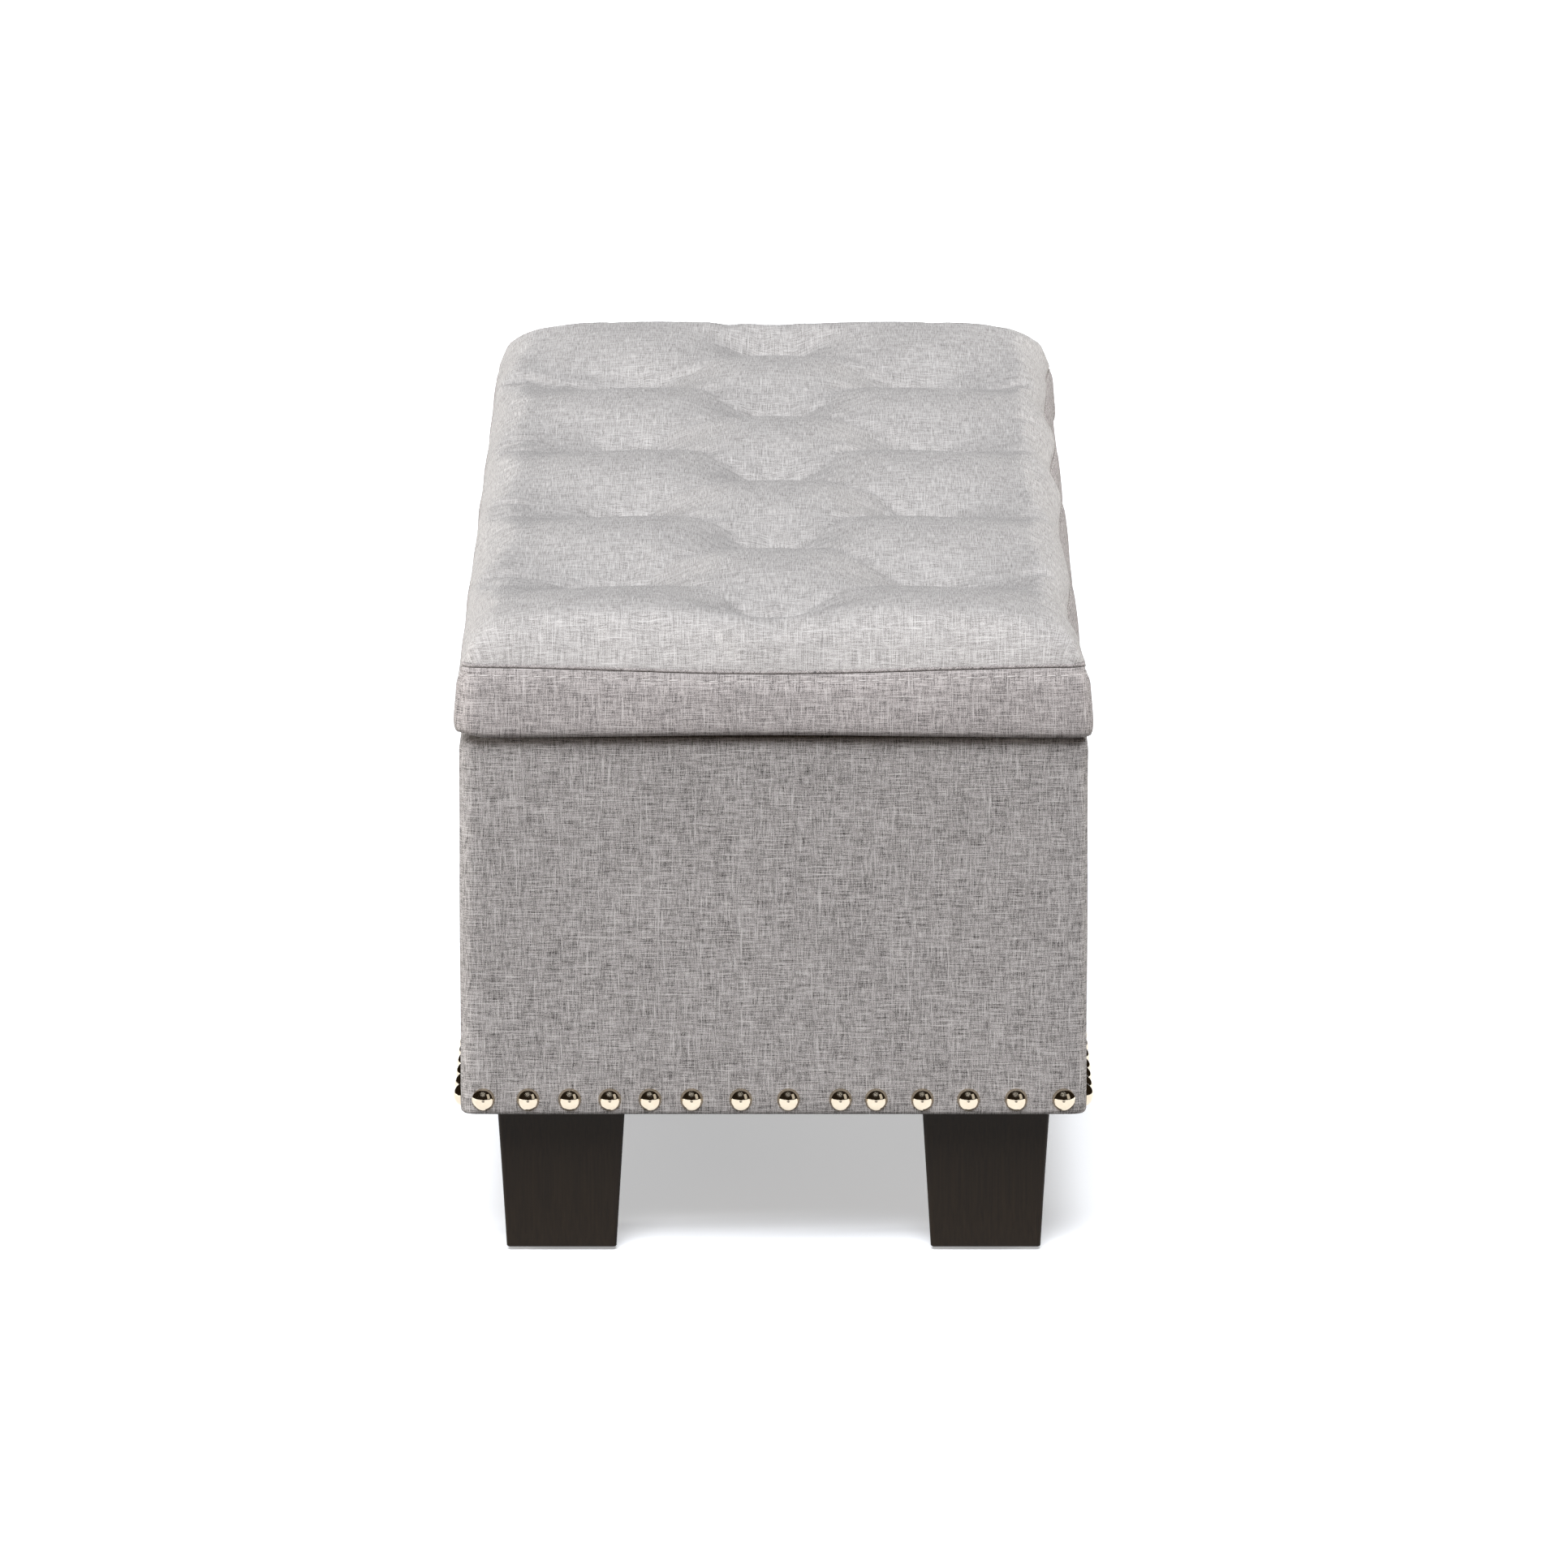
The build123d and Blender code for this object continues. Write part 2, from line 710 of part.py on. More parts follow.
with BuildPart() as hinge_pin:
    with BuildSketch(Plane.YZ):
        Circle(pin_r)
    extrude(amount=hinge_length / 2, both=True)
    for end in (-1, 1):
        with BuildSketch(Plane.YZ.offset(end * hinge_length / 2)):
            Circle(pin_head_r)
        extrude(amount=end * pin_head_t)
scatter("hinge_pins", hinge_pin.part, [(x, hinge_y, hinge_z) for x in hinge_xs])

body_leaf_screw = screw(hinge_screw_r, hinge_screw_head_r, body_screw_length)
scatter("hinge_body_screws", body_leaf_screw, leaf_screw_planes(rim_z + hinge_leaf_t, 1))
lid_leaf_screw = screw(hinge_screw_r, hinge_screw_head_r, lid_screw_length)
scatter("hinge_lid_screws", lid_leaf_screw, leaf_screw_planes(lid_z - hinge_leaf_t, -1))

# gas struts, drawn upright from the body pivot
with BuildPart() as eye:
    with BuildSketch(Plane.YZ):
        Circle(eye_r)
    extrude(amount=eye_width / 2, both=True)
    with BuildSketch():
        Circle(eye_neck_r)
    extrude(amount=eye_neck)
    with BuildSketch(Plane.YZ):
        Circle(pivot_r + running_clearance)
    extrude(amount=eye_width / 2, both=True, mode=Mode.SUBTRACT)
    with BuildSketch(Plane.XY.offset(eye_neck)):
        Circle(rod_r + seat_clearance)
    extrude(amount=-eye_thread, mode=Mode.SUBTRACT)

tube_bore_r = tube_r - tube_wall
tube_top = eye_neck + tube_length
with BuildPart() as tube:
    with BuildSketch(Plane.XZ):
        with BuildLine():
            Polyline(
                (0, eye_neck - eye_thread),
                (rod_r, eye_neck - eye_thread),
                (rod_r, eye_neck),
                (tube_r, eye_neck),
                (tube_r, tube_top),
                (tube_bore_r, tube_top),
                (tube_bore_r, eye_neck + tube_end_t),
                (0, eye_neck + tube_end_t),
                close=True,
            )
        make_face()
    revolve(axis=Axis.Z)

with BuildPart() as guide:
    with BuildSketch(Plane.XY.offset(tube_top)):
        Circle(tube_bore_r - seat_clearance)
        Circle(rod_r + running_clearance, mode=Mode.SUBTRACT)
    extrude(amount=-guide_length)

piston_z = eye_neck + tube_end_t + piston_rest
with BuildPart() as rod:
    with BuildSketch(Plane.XY.offset(piston_z)):
        Circle(rod_r)
    extrude(amount=strut_closed - eye_neck + eye_thread - piston_z)
    with BuildSketch(Plane.XY.offset(piston_z)):
        Circle(tube_bore_r - running_clearance)
    extrude(amount=piston_t)

bracket_screw = screw(bracket_screw_r, bracket_screw_head_r, bracket_screw_length)
bracket_screw_run = bracket_length / 2 - bracket_screw_inset

body_pin_length = strut_wall_gap - bracket_t
with BuildPart() as body_bracket:
    with BuildSketch(Plane.XY.offset(body_pin_length)):
        RectangleRounded(bracket_width, bracket_length, bracket_corner_r)
    extrude(amount=bracket_t)
    pivot_pin(body_pin_length)
    with Locations(Plane(origin=(0, 0, body_pin_length), z_dir=(0, 0, -1))):
        with Locations((0, -bracket_screw_run), (0, bracket_screw_run)):
            CounterSinkHole(bracket_screw_r + seat_clearance, bracket_screw_head_r, 2 * bracket_t, 90)

flange_depth = strut_drop + bracket_width / 2
plate_mid = bracket_flange_gap + bracket_t - bracket_width / 2
with BuildPart() as lid_bracket:
    with BuildSketch(Plane.XY.offset(bracket_flange_gap)):
        with Locations((0, strut_drop - flange_depth / 2)):
            Rectangle(bracket_length, flange_depth)
    extrude(amount=bracket_t)
    fillet(lid_bracket.edges().filter_by(Axis.Z).group_by(Axis.Y)[0], bracket_corner_r)
    with BuildSketch(Plane.XZ.offset(-strut_drop)):
        with Locations((0, plate_mid)):
            Rectangle(bracket_length, bracket_width)
    extrude(amount=bracket_t)
    pivot_pin(bracket_flange_gap)
    with Locations(Plane(origin=(0, strut_drop - bracket_t, plate_mid), x_dir=(1, 0, 0), z_dir=(0, -1, 0))):
        with Locations((-bracket_screw_run, 0), (bracket_screw_run, 0)):
            CounterSinkHole(bracket_screw_r + seat_clearance, bracket_screw_head_r, 2 * bracket_t, 90)

for label, side in SIDES.items():
    at_body = strut_plane(side, body_pivot_y, body_pivot_z, 1)
    at_lid = strut_plane(side, lid_pivot_y, lid_pivot_z, -1)
    placed(f"{label}_strut_lower_eye", eye.part, at_body)
    placed(f"{label}_strut_tube", tube.part, at_body)
    placed(f"{label}_strut_guide", guide.part, at_body)
    placed(f"{label}_strut_rod", rod.part, at_body)
    placed(f"{label}_strut_upper_eye", eye.part, at_lid)
    placed(f"{label}_strut_body_bracket", body_bracket.part, pin_plane(side, body_pivot_y, body_pivot_z))
    placed(f"{label}_strut_lid_bracket", lid_bracket.part, pin_plane(side, lid_pivot_y, lid_pivot_z))

body_screw_spots = [
    Plane(
        origin=(side * (lining_hx - bracket_t), body_pivot_y, body_pivot_z + along * bracket_screw_run),
        x_dir=(0, 1, 0),
        z_dir=(-side, 0, 0),
    )
    for side in (-1, 1)
    for along in (-1, 1)
]
scatter("strut_body_screws", bracket_screw, body_screw_spots)
lid_screw_spots = [
    Plane(
        origin=(side * (strut_x + plate_mid), lid_pivot_y + along * bracket_screw_run, lid_z - bracket_t),
        z_dir=(0, 0, -1),
    )
    for side in (-1, 1)
    for along in (-1, 1)
]
scatter("strut_lid_screws", bracket_screw, lid_screw_spots)
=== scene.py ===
"""Tufted storage bench: dresses the CAD assembly with upholstery, finishes, light and a camera."""

import json
import logging
import math
from collections.abc import Callable, Iterable
from dataclasses import dataclass
from enum import Enum

import bpy
import numpy as np
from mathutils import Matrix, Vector

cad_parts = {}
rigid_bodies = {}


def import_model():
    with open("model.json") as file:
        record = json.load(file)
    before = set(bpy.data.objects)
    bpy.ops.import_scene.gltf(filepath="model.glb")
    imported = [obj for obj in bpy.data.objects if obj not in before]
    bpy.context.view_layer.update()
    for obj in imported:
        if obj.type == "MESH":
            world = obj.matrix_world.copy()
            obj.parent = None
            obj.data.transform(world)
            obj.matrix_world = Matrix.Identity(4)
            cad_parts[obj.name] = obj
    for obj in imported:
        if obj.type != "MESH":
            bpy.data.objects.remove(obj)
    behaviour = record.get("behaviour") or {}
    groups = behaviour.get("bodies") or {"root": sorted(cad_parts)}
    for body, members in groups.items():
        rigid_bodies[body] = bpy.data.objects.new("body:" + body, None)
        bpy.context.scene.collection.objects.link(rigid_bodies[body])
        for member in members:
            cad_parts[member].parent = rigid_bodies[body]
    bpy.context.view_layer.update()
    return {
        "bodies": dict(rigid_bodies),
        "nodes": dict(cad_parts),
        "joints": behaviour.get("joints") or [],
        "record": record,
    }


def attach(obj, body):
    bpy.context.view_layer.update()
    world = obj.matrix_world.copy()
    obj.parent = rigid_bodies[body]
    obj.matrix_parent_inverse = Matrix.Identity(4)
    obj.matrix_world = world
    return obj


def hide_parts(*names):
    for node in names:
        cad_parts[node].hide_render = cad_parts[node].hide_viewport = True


LOG = logging.getLogger("bench")
MM = 0.001
# longest edge in the meshes of the lid's band and trim
BAND_EDGE = 9 * MM


class Body(Enum):
    """CAD bodies that the new pieces ride on."""

    BENCH = "bench_body"
    LID = "lid"


def linear(code: str) -> tuple[float, float, float, float]:
    """Turn an sRGB hex colour to linear light.

    Args:
        code: colour as "#rrggbb".

    Returns:
        Linear red, green, blue and an alpha of 1.
    """
    parts = [int(code[i : i + 2], 16) / 255 for i in (1, 3, 5)]
    r, g, b = (c / 12.92 if c <= 0.04045 else ((c + 0.055) / 1.055) ** 2.4 for c in parts)
    return r, g, b, 1.0


def smooth(t: np.ndarray) -> np.ndarray:
    """Ease values between 0 and 1."""
    t = np.clip(t, 0.0, 1.0)
    return t * t * (3 - 2 * t)


def activate(obj: bpy.types.Object) -> None:
    """Make one object the only selected and active one.

    Args:
        obj: the object.
    """
    bpy.ops.object.select_all(action="DESELECT")
    obj.select_set(True)
    bpy.context.view_layer.objects.active = obj


def in_edit(obj: bpy.types.Object, mode: str, work: Callable[[], object]) -> None:
    """Run operators on an object in edit mode.

    Args:
        obj: mesh object, its selection already set.
        mode: element mode, "VERT", "EDGE" or "FACE".
        work: function that calls the operators.
    """
    activate(obj)
    bpy.context.tool_settings.mesh_select_mode = [mode == kind for kind in ("VERT", "EDGE", "FACE")]
    bpy.ops.object.mode_set(mode="EDIT")
    work()
    bpy.ops.object.mode_set(mode="OBJECT")


def select_none(obj: bpy.types.Object) -> None:
    """Deselect every vertex, edge and face of a mesh.

    Args:
        obj: mesh object.
    """
    mesh = obj.data
    for items in (mesh.vertices, mesh.edges, mesh.polygons):
        items.foreach_set("select", [False] * len(items))


def select_faces(obj: bpy.types.Object, test: Callable[[bpy.types.MeshPolygon], bool]) -> None:
    """Select the faces that pass a test, and nothing else.

    Args:
        obj: mesh object.
        test: takes a face.
    """
    select_none(obj)
    for face in obj.data.polygons:
        face.select = test(face)


def select_edges(obj: bpy.types.Object, test: Callable[[np.ndarray, np.ndarray], bool]) -> int:
    """Select edges by their two end points.

    Args:
        obj: mesh object.
        test: takes both end points.

    Returns:
        How many were selected.
    """
    select_none(obj)
    points = coordinates(obj)
    count = 0
    for edge in obj.data.edges:
        a, b = edge.vertices
        edge.select = bool(test(points[a], points[b]))
        count += edge.select
    return count


def coordinates(obj: bpy.types.Object) -> np.ndarray:
    """Read the vertex coordinates of a mesh.

    Args:
        obj: mesh object.

    Returns:
        One row for each vertex.
    """
    flat = np.empty(len(obj.data.vertices) * 3)
    obj.data.vertices.foreach_get("co", flat)
    return flat.reshape(-1, 3)


def set_coordinates(obj: bpy.types.Object, points: np.ndarray) -> None:
    """Write vertex coordinates back to a mesh."""
    obj.data.vertices.foreach_set("co", points.ravel())
    obj.data.update()


def apply_modifier(obj: bpy.types.Object, kind: str, **settings: object) -> None:
    """Add a modifier, set it and apply it.

    Args:
        obj: mesh object.
        kind: modifier type.
        settings: attributes of the modifier.
    """
    activate(obj)
    modifier = obj.modifiers.new(kind.lower(), kind)
    for key, value in settings.items():
        setattr(modifier, key, value)
    bpy.ops.object.modifier_apply(modifier=modifier.name)


def add_box(name: str, half: tuple[float, float], low: float, high: float) -> bpy.types.Object:
    """Add a cube at its size and place, with the place in its mesh.

    Args:
        name: name of the piece.
        half: half sizes along X and Y.
        low: height of its underside.
        high: height of its top.

    Returns:
        The new object.
    """
    bpy.ops.object.select_all(action="DESELECT")
    bpy.ops.mesh.primitive_cube_add(size=1, location=(0, 0, (low + high) / 2))
    obj = bpy.context.object
    obj.name = obj.data.name = name
    obj.scale = (2 * half[0], 2 * half[1], high - low)
    bpy.ops.object.transform_apply(location=True, rotation=True, scale=True)
    return obj


def upright(a: np.ndarray, b: np.ndarray) -> bool:
    """True for an edge that runs along Z."""
    return abs(a[0] - b[0]) + abs(a[1] - b[1]) < 1e-6


def refine(obj: bpy.types.Object, longest: float) -> None:
    """Cut long edges in two until none is longer than a length."""
    while select_edges(obj, lambda a, b: np.linalg.norm(a - b) > longest):
        in_edit(obj, "EDGE", lambda: bpy.ops.mesh.subdivide(number_cuts=1))


def box_weave_map(obj: bpy.types.Object, turn: float = 0.0) -> None:
    """Lay cloth on a piece from the side that each face looks to, one UV unit to a metre.

    Args:
        obj: mesh object.
        turn: angle of the threads, in radians, as for a strip cut on the bias.
    """
    layer = obj.data.uv_layers.new(name="cloth")
    points = coordinates(obj)
    out = np.empty((len(obj.data.loops), 2))
    for face in obj.data.polygons:
        n = np.abs(np.array(face.normal))
        flat = int(np.argmax(n))
        across, up = ((1, 2), (0, 2), (0, 1))[flat]
        for loop in face.loop_indices:
            p = points[obj.data.loops[loop].vertex_index]
            out[loop] = p[across], p[up]
    out = out @ np.array(((math.cos(turn), math.sin(turn)), (-math.sin(turn), math.cos(turn))))
    layer.data.foreach_set("uv", out.ravel())


@dataclass
class SeamLine:
    """How the sewn edge of the seat wanders from a true rectangle."""

    half_x: float = 600.6 * MM
    half_y: float = 210.6 * MM
    height: float = 406.8 * MM
    sag: float = 4.6 * MM  # dip at the middle of each end
    lean: float = 6.5 * MM  # how far the front edge lies back
    ripple: float = 2.2 * MM  # waves that the tufts draw in the sides
    flutter: float = 31 * MM  # length of the small waves on top of them
    tuft_pitch: float = 260 * MM
    end_zone: tuple[float, float] = (60 * MM, 50 * MM)  # depth of the edge zone, and its ease
    side_zone: tuple[float, float] = (40 * MM, 30 * MM)
    corner_fade: float = 90 * MM

    def shift(self, p: np.ndarray) -> np.ndarray:
        """Displace points that lie along the seam.

        The ends sag in the middle; the front edge is drawn back in waves.

        Args:
            p: points as rows.

        Returns:
            One displacement for each point.
        """
        x, y = p[:, 0], p[:, 1]
        at_end = smooth((np.abs(x) - self.half_x + self.end_zone[0]) / self.end_zone[1])
        at_side = smooth((np.abs(y) - self.half_y + self.side_zone[0]) / self.side_zone[1])
        at_front = at_side * (y < 0) * smooth((self.half_x - np.abs(x)) / self.corner_fade)
        wave = np.cos(2 * math.pi * x / self.tuft_pitch) + 0.4 * np.sin(x / self.flutter)
        out = np.zeros_like(p)
        out[:, 2] = -self.sag * at_end * np.cos(math.pi * y / (2 * self.half_y)) ** 2
        out[:, 2] += 0.5 * self.ripple * at_side * (1 - at_end) * wave
        out[:, 1] = at_front * (self.lean - self.ripple * wave)
        return out


@dataclass
class SeatCushion:
    """Crowned, diamond-tufted top of the lid."""

    seam: SeamLine
    corner: float = 13 * MM
    tuck: float = 9 * MM  # cloth turned in below the seam
    slab: float = 1.6 * MM  # flat blank above the seam, before it is raised
    shoulder: float = 22.5 * MM
    shoulder_run: float = 36 * MM
    crown: float = 10 * MM
    crown_run: float = 75 * MM
    column: float = 103 * MM  # outer tufts, from the middle
    rows: int = 5
    hollow: float = 19 * MM  # depth of the rolling hollows
    sharpness: float = 1.5
    funnel: float = 8.5 * MM  # depth of the pull at each tuft
    funnel_reach: tuple[float, float] = (17 * MM, 22 * MM)
    run_out: float = 0.75  # how far the hollows level out towards the sides
    end_run: tuple[float, float] = (240 * MM, 150 * MM)  # hollows past the last tuft, at either end
    end_roll: tuple[float, float] = (95 * MM, 50 * MM)
    end_lift: float = 4 * MM  # roll of filling at each end
    lift_place: float = 45 * MM
    lift_width: float = 40 * MM
    lift_fade: float = 70 * MM
    scallop: float = 2.4 * MM  # waves of the rear edge
    scallop_zone: tuple[float, float] = (50 * MM, 45 * MM)
    scallop_fade: float = 60 * MM
    tuft_fade: float = 45 * MM  # tufting dies out this near the seam
    seam_fade: float = 50 * MM  # the seam's wander dies out this far in
    voxel: float = 5 * MM
    sewn_rise: float = 4 * MM  # cloth that the seam holds still
    sewn_radius: float = 11 * MM  # cloth that each tuft holds still
    swell_cap: float = 2.2 * MM
    frames: int = 20
    pressure: float = 3.0
    fold: float = 0.55 * MM  # height of the folds that run out of a tuft
    fold_ring: tuple[float, float] = (22 * MM, 14 * MM)  # radius and width of their ring
    fold_level: float = 12 * MM
    drape_zone: float = 40 * MM  # edge where the cloth turns down
    drape: float = 0.7

    def tufts(self) -> list[tuple[float, float]]:
        """Work out the tuft places, a centre row and the pairs between.

        Returns:
            X and Y of each tuft.
        """
        pitch = self.seam.tuft_pitch
        spots = [((k - (self.rows - 1) / 2) * pitch, 0.0) for k in range(self.rows)]
        for k in range(self.rows - 1):
            x = (k - (self.rows - 2) / 2) * pitch
            spots += [(x, -self.column), (x, self.column)]
        return spots

    def fall(self, p: np.ndarray) -> np.ndarray:
        """Depth of the tufting below the crown at points in plan.

        Rolling hollows join the tufts, and a steep funnel runs down to each.

        Args:
            p: points as rows.

        Returns:
            Depth at each point.
        """
        x, y = p[:, 0], np.abs(p[:, 1])
        outside = smooth((y - self.column) / (self.seam.half_y - self.column))
        inside = np.cos(math.pi * y / self.column)
        across = np.where(y < self.column, inside, self.run_out * outside - 1)
        beyond = np.maximum(np.abs(x) - (self.rows - 1) / 2 * self.seam.tuft_pitch, 0)
        run, roll = (np.where(x < 0, *pair) for pair in (self.end_run, self.end_roll))
        end_turn = np.minimum(2 * math.pi * beyond / run, math.pi / 2)
        turn = np.where(beyond > 0, end_turn, 2 * math.pi * x / self.seam.tuft_pitch)
        depth = self.hollow * ((1 + np.cos(turn) * across) / 2) ** self.sharpness
        depth = depth * (1 - smooth(beyond / roll))
        funnel = np.zeros(len(p))
        for tx, ty in self.tufts():
            r = np.hypot((x - tx) / self.funnel_reach[0], (p[:, 1] - ty) / self.funnel_reach[1])
            funnel = np.maximum(funnel, np.exp(-(r**1.25)))
        return depth + self.funnel * funnel

    def shape(self, obj: bpy.types.Object) -> None:
        """Raise the shoulders and the crown, sink the tufts and draw the sides in.

        Args:
            obj: the remeshed blank.
        """
        p = coordinates(obj)
        above = smooth((p[:, 2] - self.seam.height) / self.slab)
        from_end = np.maximum(self.seam.half_x - np.abs(p[:, 0]), 0.1 * MM)
        from_side = np.maximum(self.seam.half_y - np.abs(p[:, 1]), 0.1 * MM)
        inboard = (from_end**-4 + from_side**-4) ** -0.25
        slope = 1 - np.clip(inboard / self.shoulder_run, 0, 1)
        crowned = ((3 * from_end) ** -4 + from_side**-4) ** -0.25
        rise = self.shoulder * (1 - slope**2) ** 0.6 + self.crown * (1 - np.exp(-crowned / self.crown_run))
        roll = np.exp(-(((from_end - self.lift_place) / self.lift_width) ** 2))
        rise += self.end_lift * roll * smooth(from_side / self.lift_fade)
        wave = np.cos(2 * math.pi * p[:, 0] / self.seam.tuft_pitch)
        rear = smooth((p[:, 1] - self.seam.half_y + self.scallop_zone[0]) / self.scallop_zone[1])
        rear = rear * smooth(from_end / self.scallop_fade)
        moved = p.copy()
        moved[:, 2] += above * (rise - self.fall(p) * smooth(inboard / self.tuft_fade))
        moved[:, 1] += self.scallop * rear * above * (0.6 - 0.5 * wave)
        below = smooth((self.seam.height - p[:, 2]) / self.tuck)
        moved[:, 0] -= np.clip(p[:, 0], -1, 1) / self.seam.half_x * self.tuck * below
        moved[:, 1] -= np.clip(p[:, 1], -1, 1) / self.seam.half_y * self.tuck * below
        moved += self.seam.shift(p) * (1 - smooth(inboard / self.seam_fade))[:, None]
        set_coordinates(obj, moved)

    def swell(self, obj: bpy.types.Object) -> None:
        """Blow the cover up against its stitches with cloth, and cap how far it goes.

        Args:
            obj: the shaped cushion.
        """
        rest = coordinates(obj)
        group = obj.vertex_groups.new(name="sewn")
        low = np.nonzero(rest[:, 2] < self.seam.height + self.sewn_rise)[0]
        group.add([int(i) for i in low], 1.0, "REPLACE")
        for tx, ty in self.tufts():
            near = np.nonzero(np.hypot(rest[:, 0] - tx, rest[:, 1] - ty) < self.sewn_radius)[0]
            group.add([int(i) for i in near], 1.0, "REPLACE")
        activate(obj)
        cloth = obj.modifiers.new("cloth", "CLOTH")
        settings = cloth.settings
        settings.quality = 6
        settings.mass = 0.3
        settings.tension_stiffness = settings.compression_stiffness = 12
        settings.shear_stiffness = 6
        settings.bending_stiffness = 0.6
        settings.use_pressure = True
        settings.uniform_pressure_force = self.pressure
        settings.shrink_min = -0.012
        settings.vertex_group_mass = group.name
        settings.effector_weights.gravity = 0
        cloth.point_cache.frame_end = self.frames
        for frame in range(1, self.frames + 1):
            bpy.context.scene.frame_set(frame)
        bpy.ops.object.modifier_apply(modifier=cloth.name)
        bpy.context.scene.frame_set(1)
        step = coordinates(obj) - rest
        length = np.linalg.norm(step, axis=1)
        scale = np.minimum(1.0, self.swell_cap / np.maximum(length, 1e-9))
        set_coordinates(obj, rest + step * scale[:, None])
        obj.vertex_groups.clear()

    def crease(self, obj: bpy.types.Object) -> None:
        """Add the fine folds that run out of each tuft.

        Args:
            obj: the swollen cushion.
        """
        p = coordinates(obj)
        level = smooth((p[:, 2] - self.seam.height) / self.fold_level)
        ring, width = self.fold_ring
        for number, (tx, ty) in enumerate(self.tufts()):
            dx, dy = p[:, 0] - tx, p[:, 1] - ty
            r = np.hypot(dx, dy)
            angle = np.arctan2(dy, dx)
            folds = np.cos(7 * angle + 1.7 * number) + 0.6 * np.cos(11 * angle + 2.9 * number)
            reach = np.exp(-((r - ring) ** 2) / width**2)
            p[:, 2] += self.fold * level * reach * folds
        set_coordinates(obj, p)

    def weave_map(self, obj: bpy.types.Object) -> None:
        """Lay the cloth over the crown and down its edges, one UV unit to a metre.

        Args:
            obj: the finished form.
        """
        p = coordinates(obj)
        drop = np.maximum(self.seam.height + self.shoulder - p[:, 2], 0)
        end = smooth((np.abs(p[:, 0]) - self.seam.half_x + self.drape_zone) / self.drape_zone)
        side = smooth((np.abs(p[:, 1]) - self.seam.half_y + self.drape_zone) / self.drape_zone)
        u = p[:, 0] + np.sign(p[:, 0]) * end * drop * self.drape
        v = p[:, 1] + np.sign(p[:, 1]) * side * drop * self.drape
        index = np.empty(len(obj.data.loops), dtype=np.int64)
        obj.data.loops.foreach_get("vertex_index", index)
        layer = obj.data.uv_layers.new(name="cloth")
        layer.data.foreach_set("uv", np.stack([u[index], v[index]], axis=1).ravel())

    def build(self) -> bpy.types.Object:
        """Model the cushion.

        Returns:
            The finished piece.
        """
        low, high = self.seam.height - self.tuck, self.seam.height + self.slab
        obj = add_box("tufted_seat", (self.seam.half_x, self.seam.half_y), low, high)
        select_edges(obj, upright)
        in_edit(obj, "EDGE", lambda: bpy.ops.mesh.bevel(offset=self.corner, segments=5, affect="EDGES"))
        apply_modifier(obj, "REMESH", mode="VOXEL", voxel_size=self.voxel)
        self.shape(obj)
        self.swell(obj)
        apply_modifier(obj, "SUBSURF", levels=1, render_levels=1)
        self.crease(obj)
        self.weave_map(obj)
        activate(obj)
        bpy.ops.object.shade_smooth()
        return obj


@dataclass
class TuftCords:
    """Cords that hold each tuft down to the lid board."""

    seat: SeatCushion
    radius: float = 1.5 * MM
    low: float = 364.1 * MM
    high: float = 408.0 * MM

    def build(self) -> bpy.types.Object:
        """Model the cords.

        Returns:
            The finished piece.
        """
        bpy.ops.object.select_all(action="DESELECT")
        cords = []
        for x, y in self.seat.tufts():
            middle = (x, y, (self.low + self.high) / 2)
            bpy.ops.mesh.primitive_cylinder_add(
                vertices=12, radius=self.radius, depth=self.high - self.low, location=middle
            )
            cords.append(bpy.context.object)
        for cord in cords:
            cord.select_set(True)
        bpy.ops.object.join()
        obj = bpy.context.object
        obj.name = obj.data.name = "tuft_cords"
        bpy.ops.object.transform_apply(location=True, rotation=True, scale=True)
        bpy.ops.object.shade_smooth_by_angle(angle=math.radians(40))
        return obj


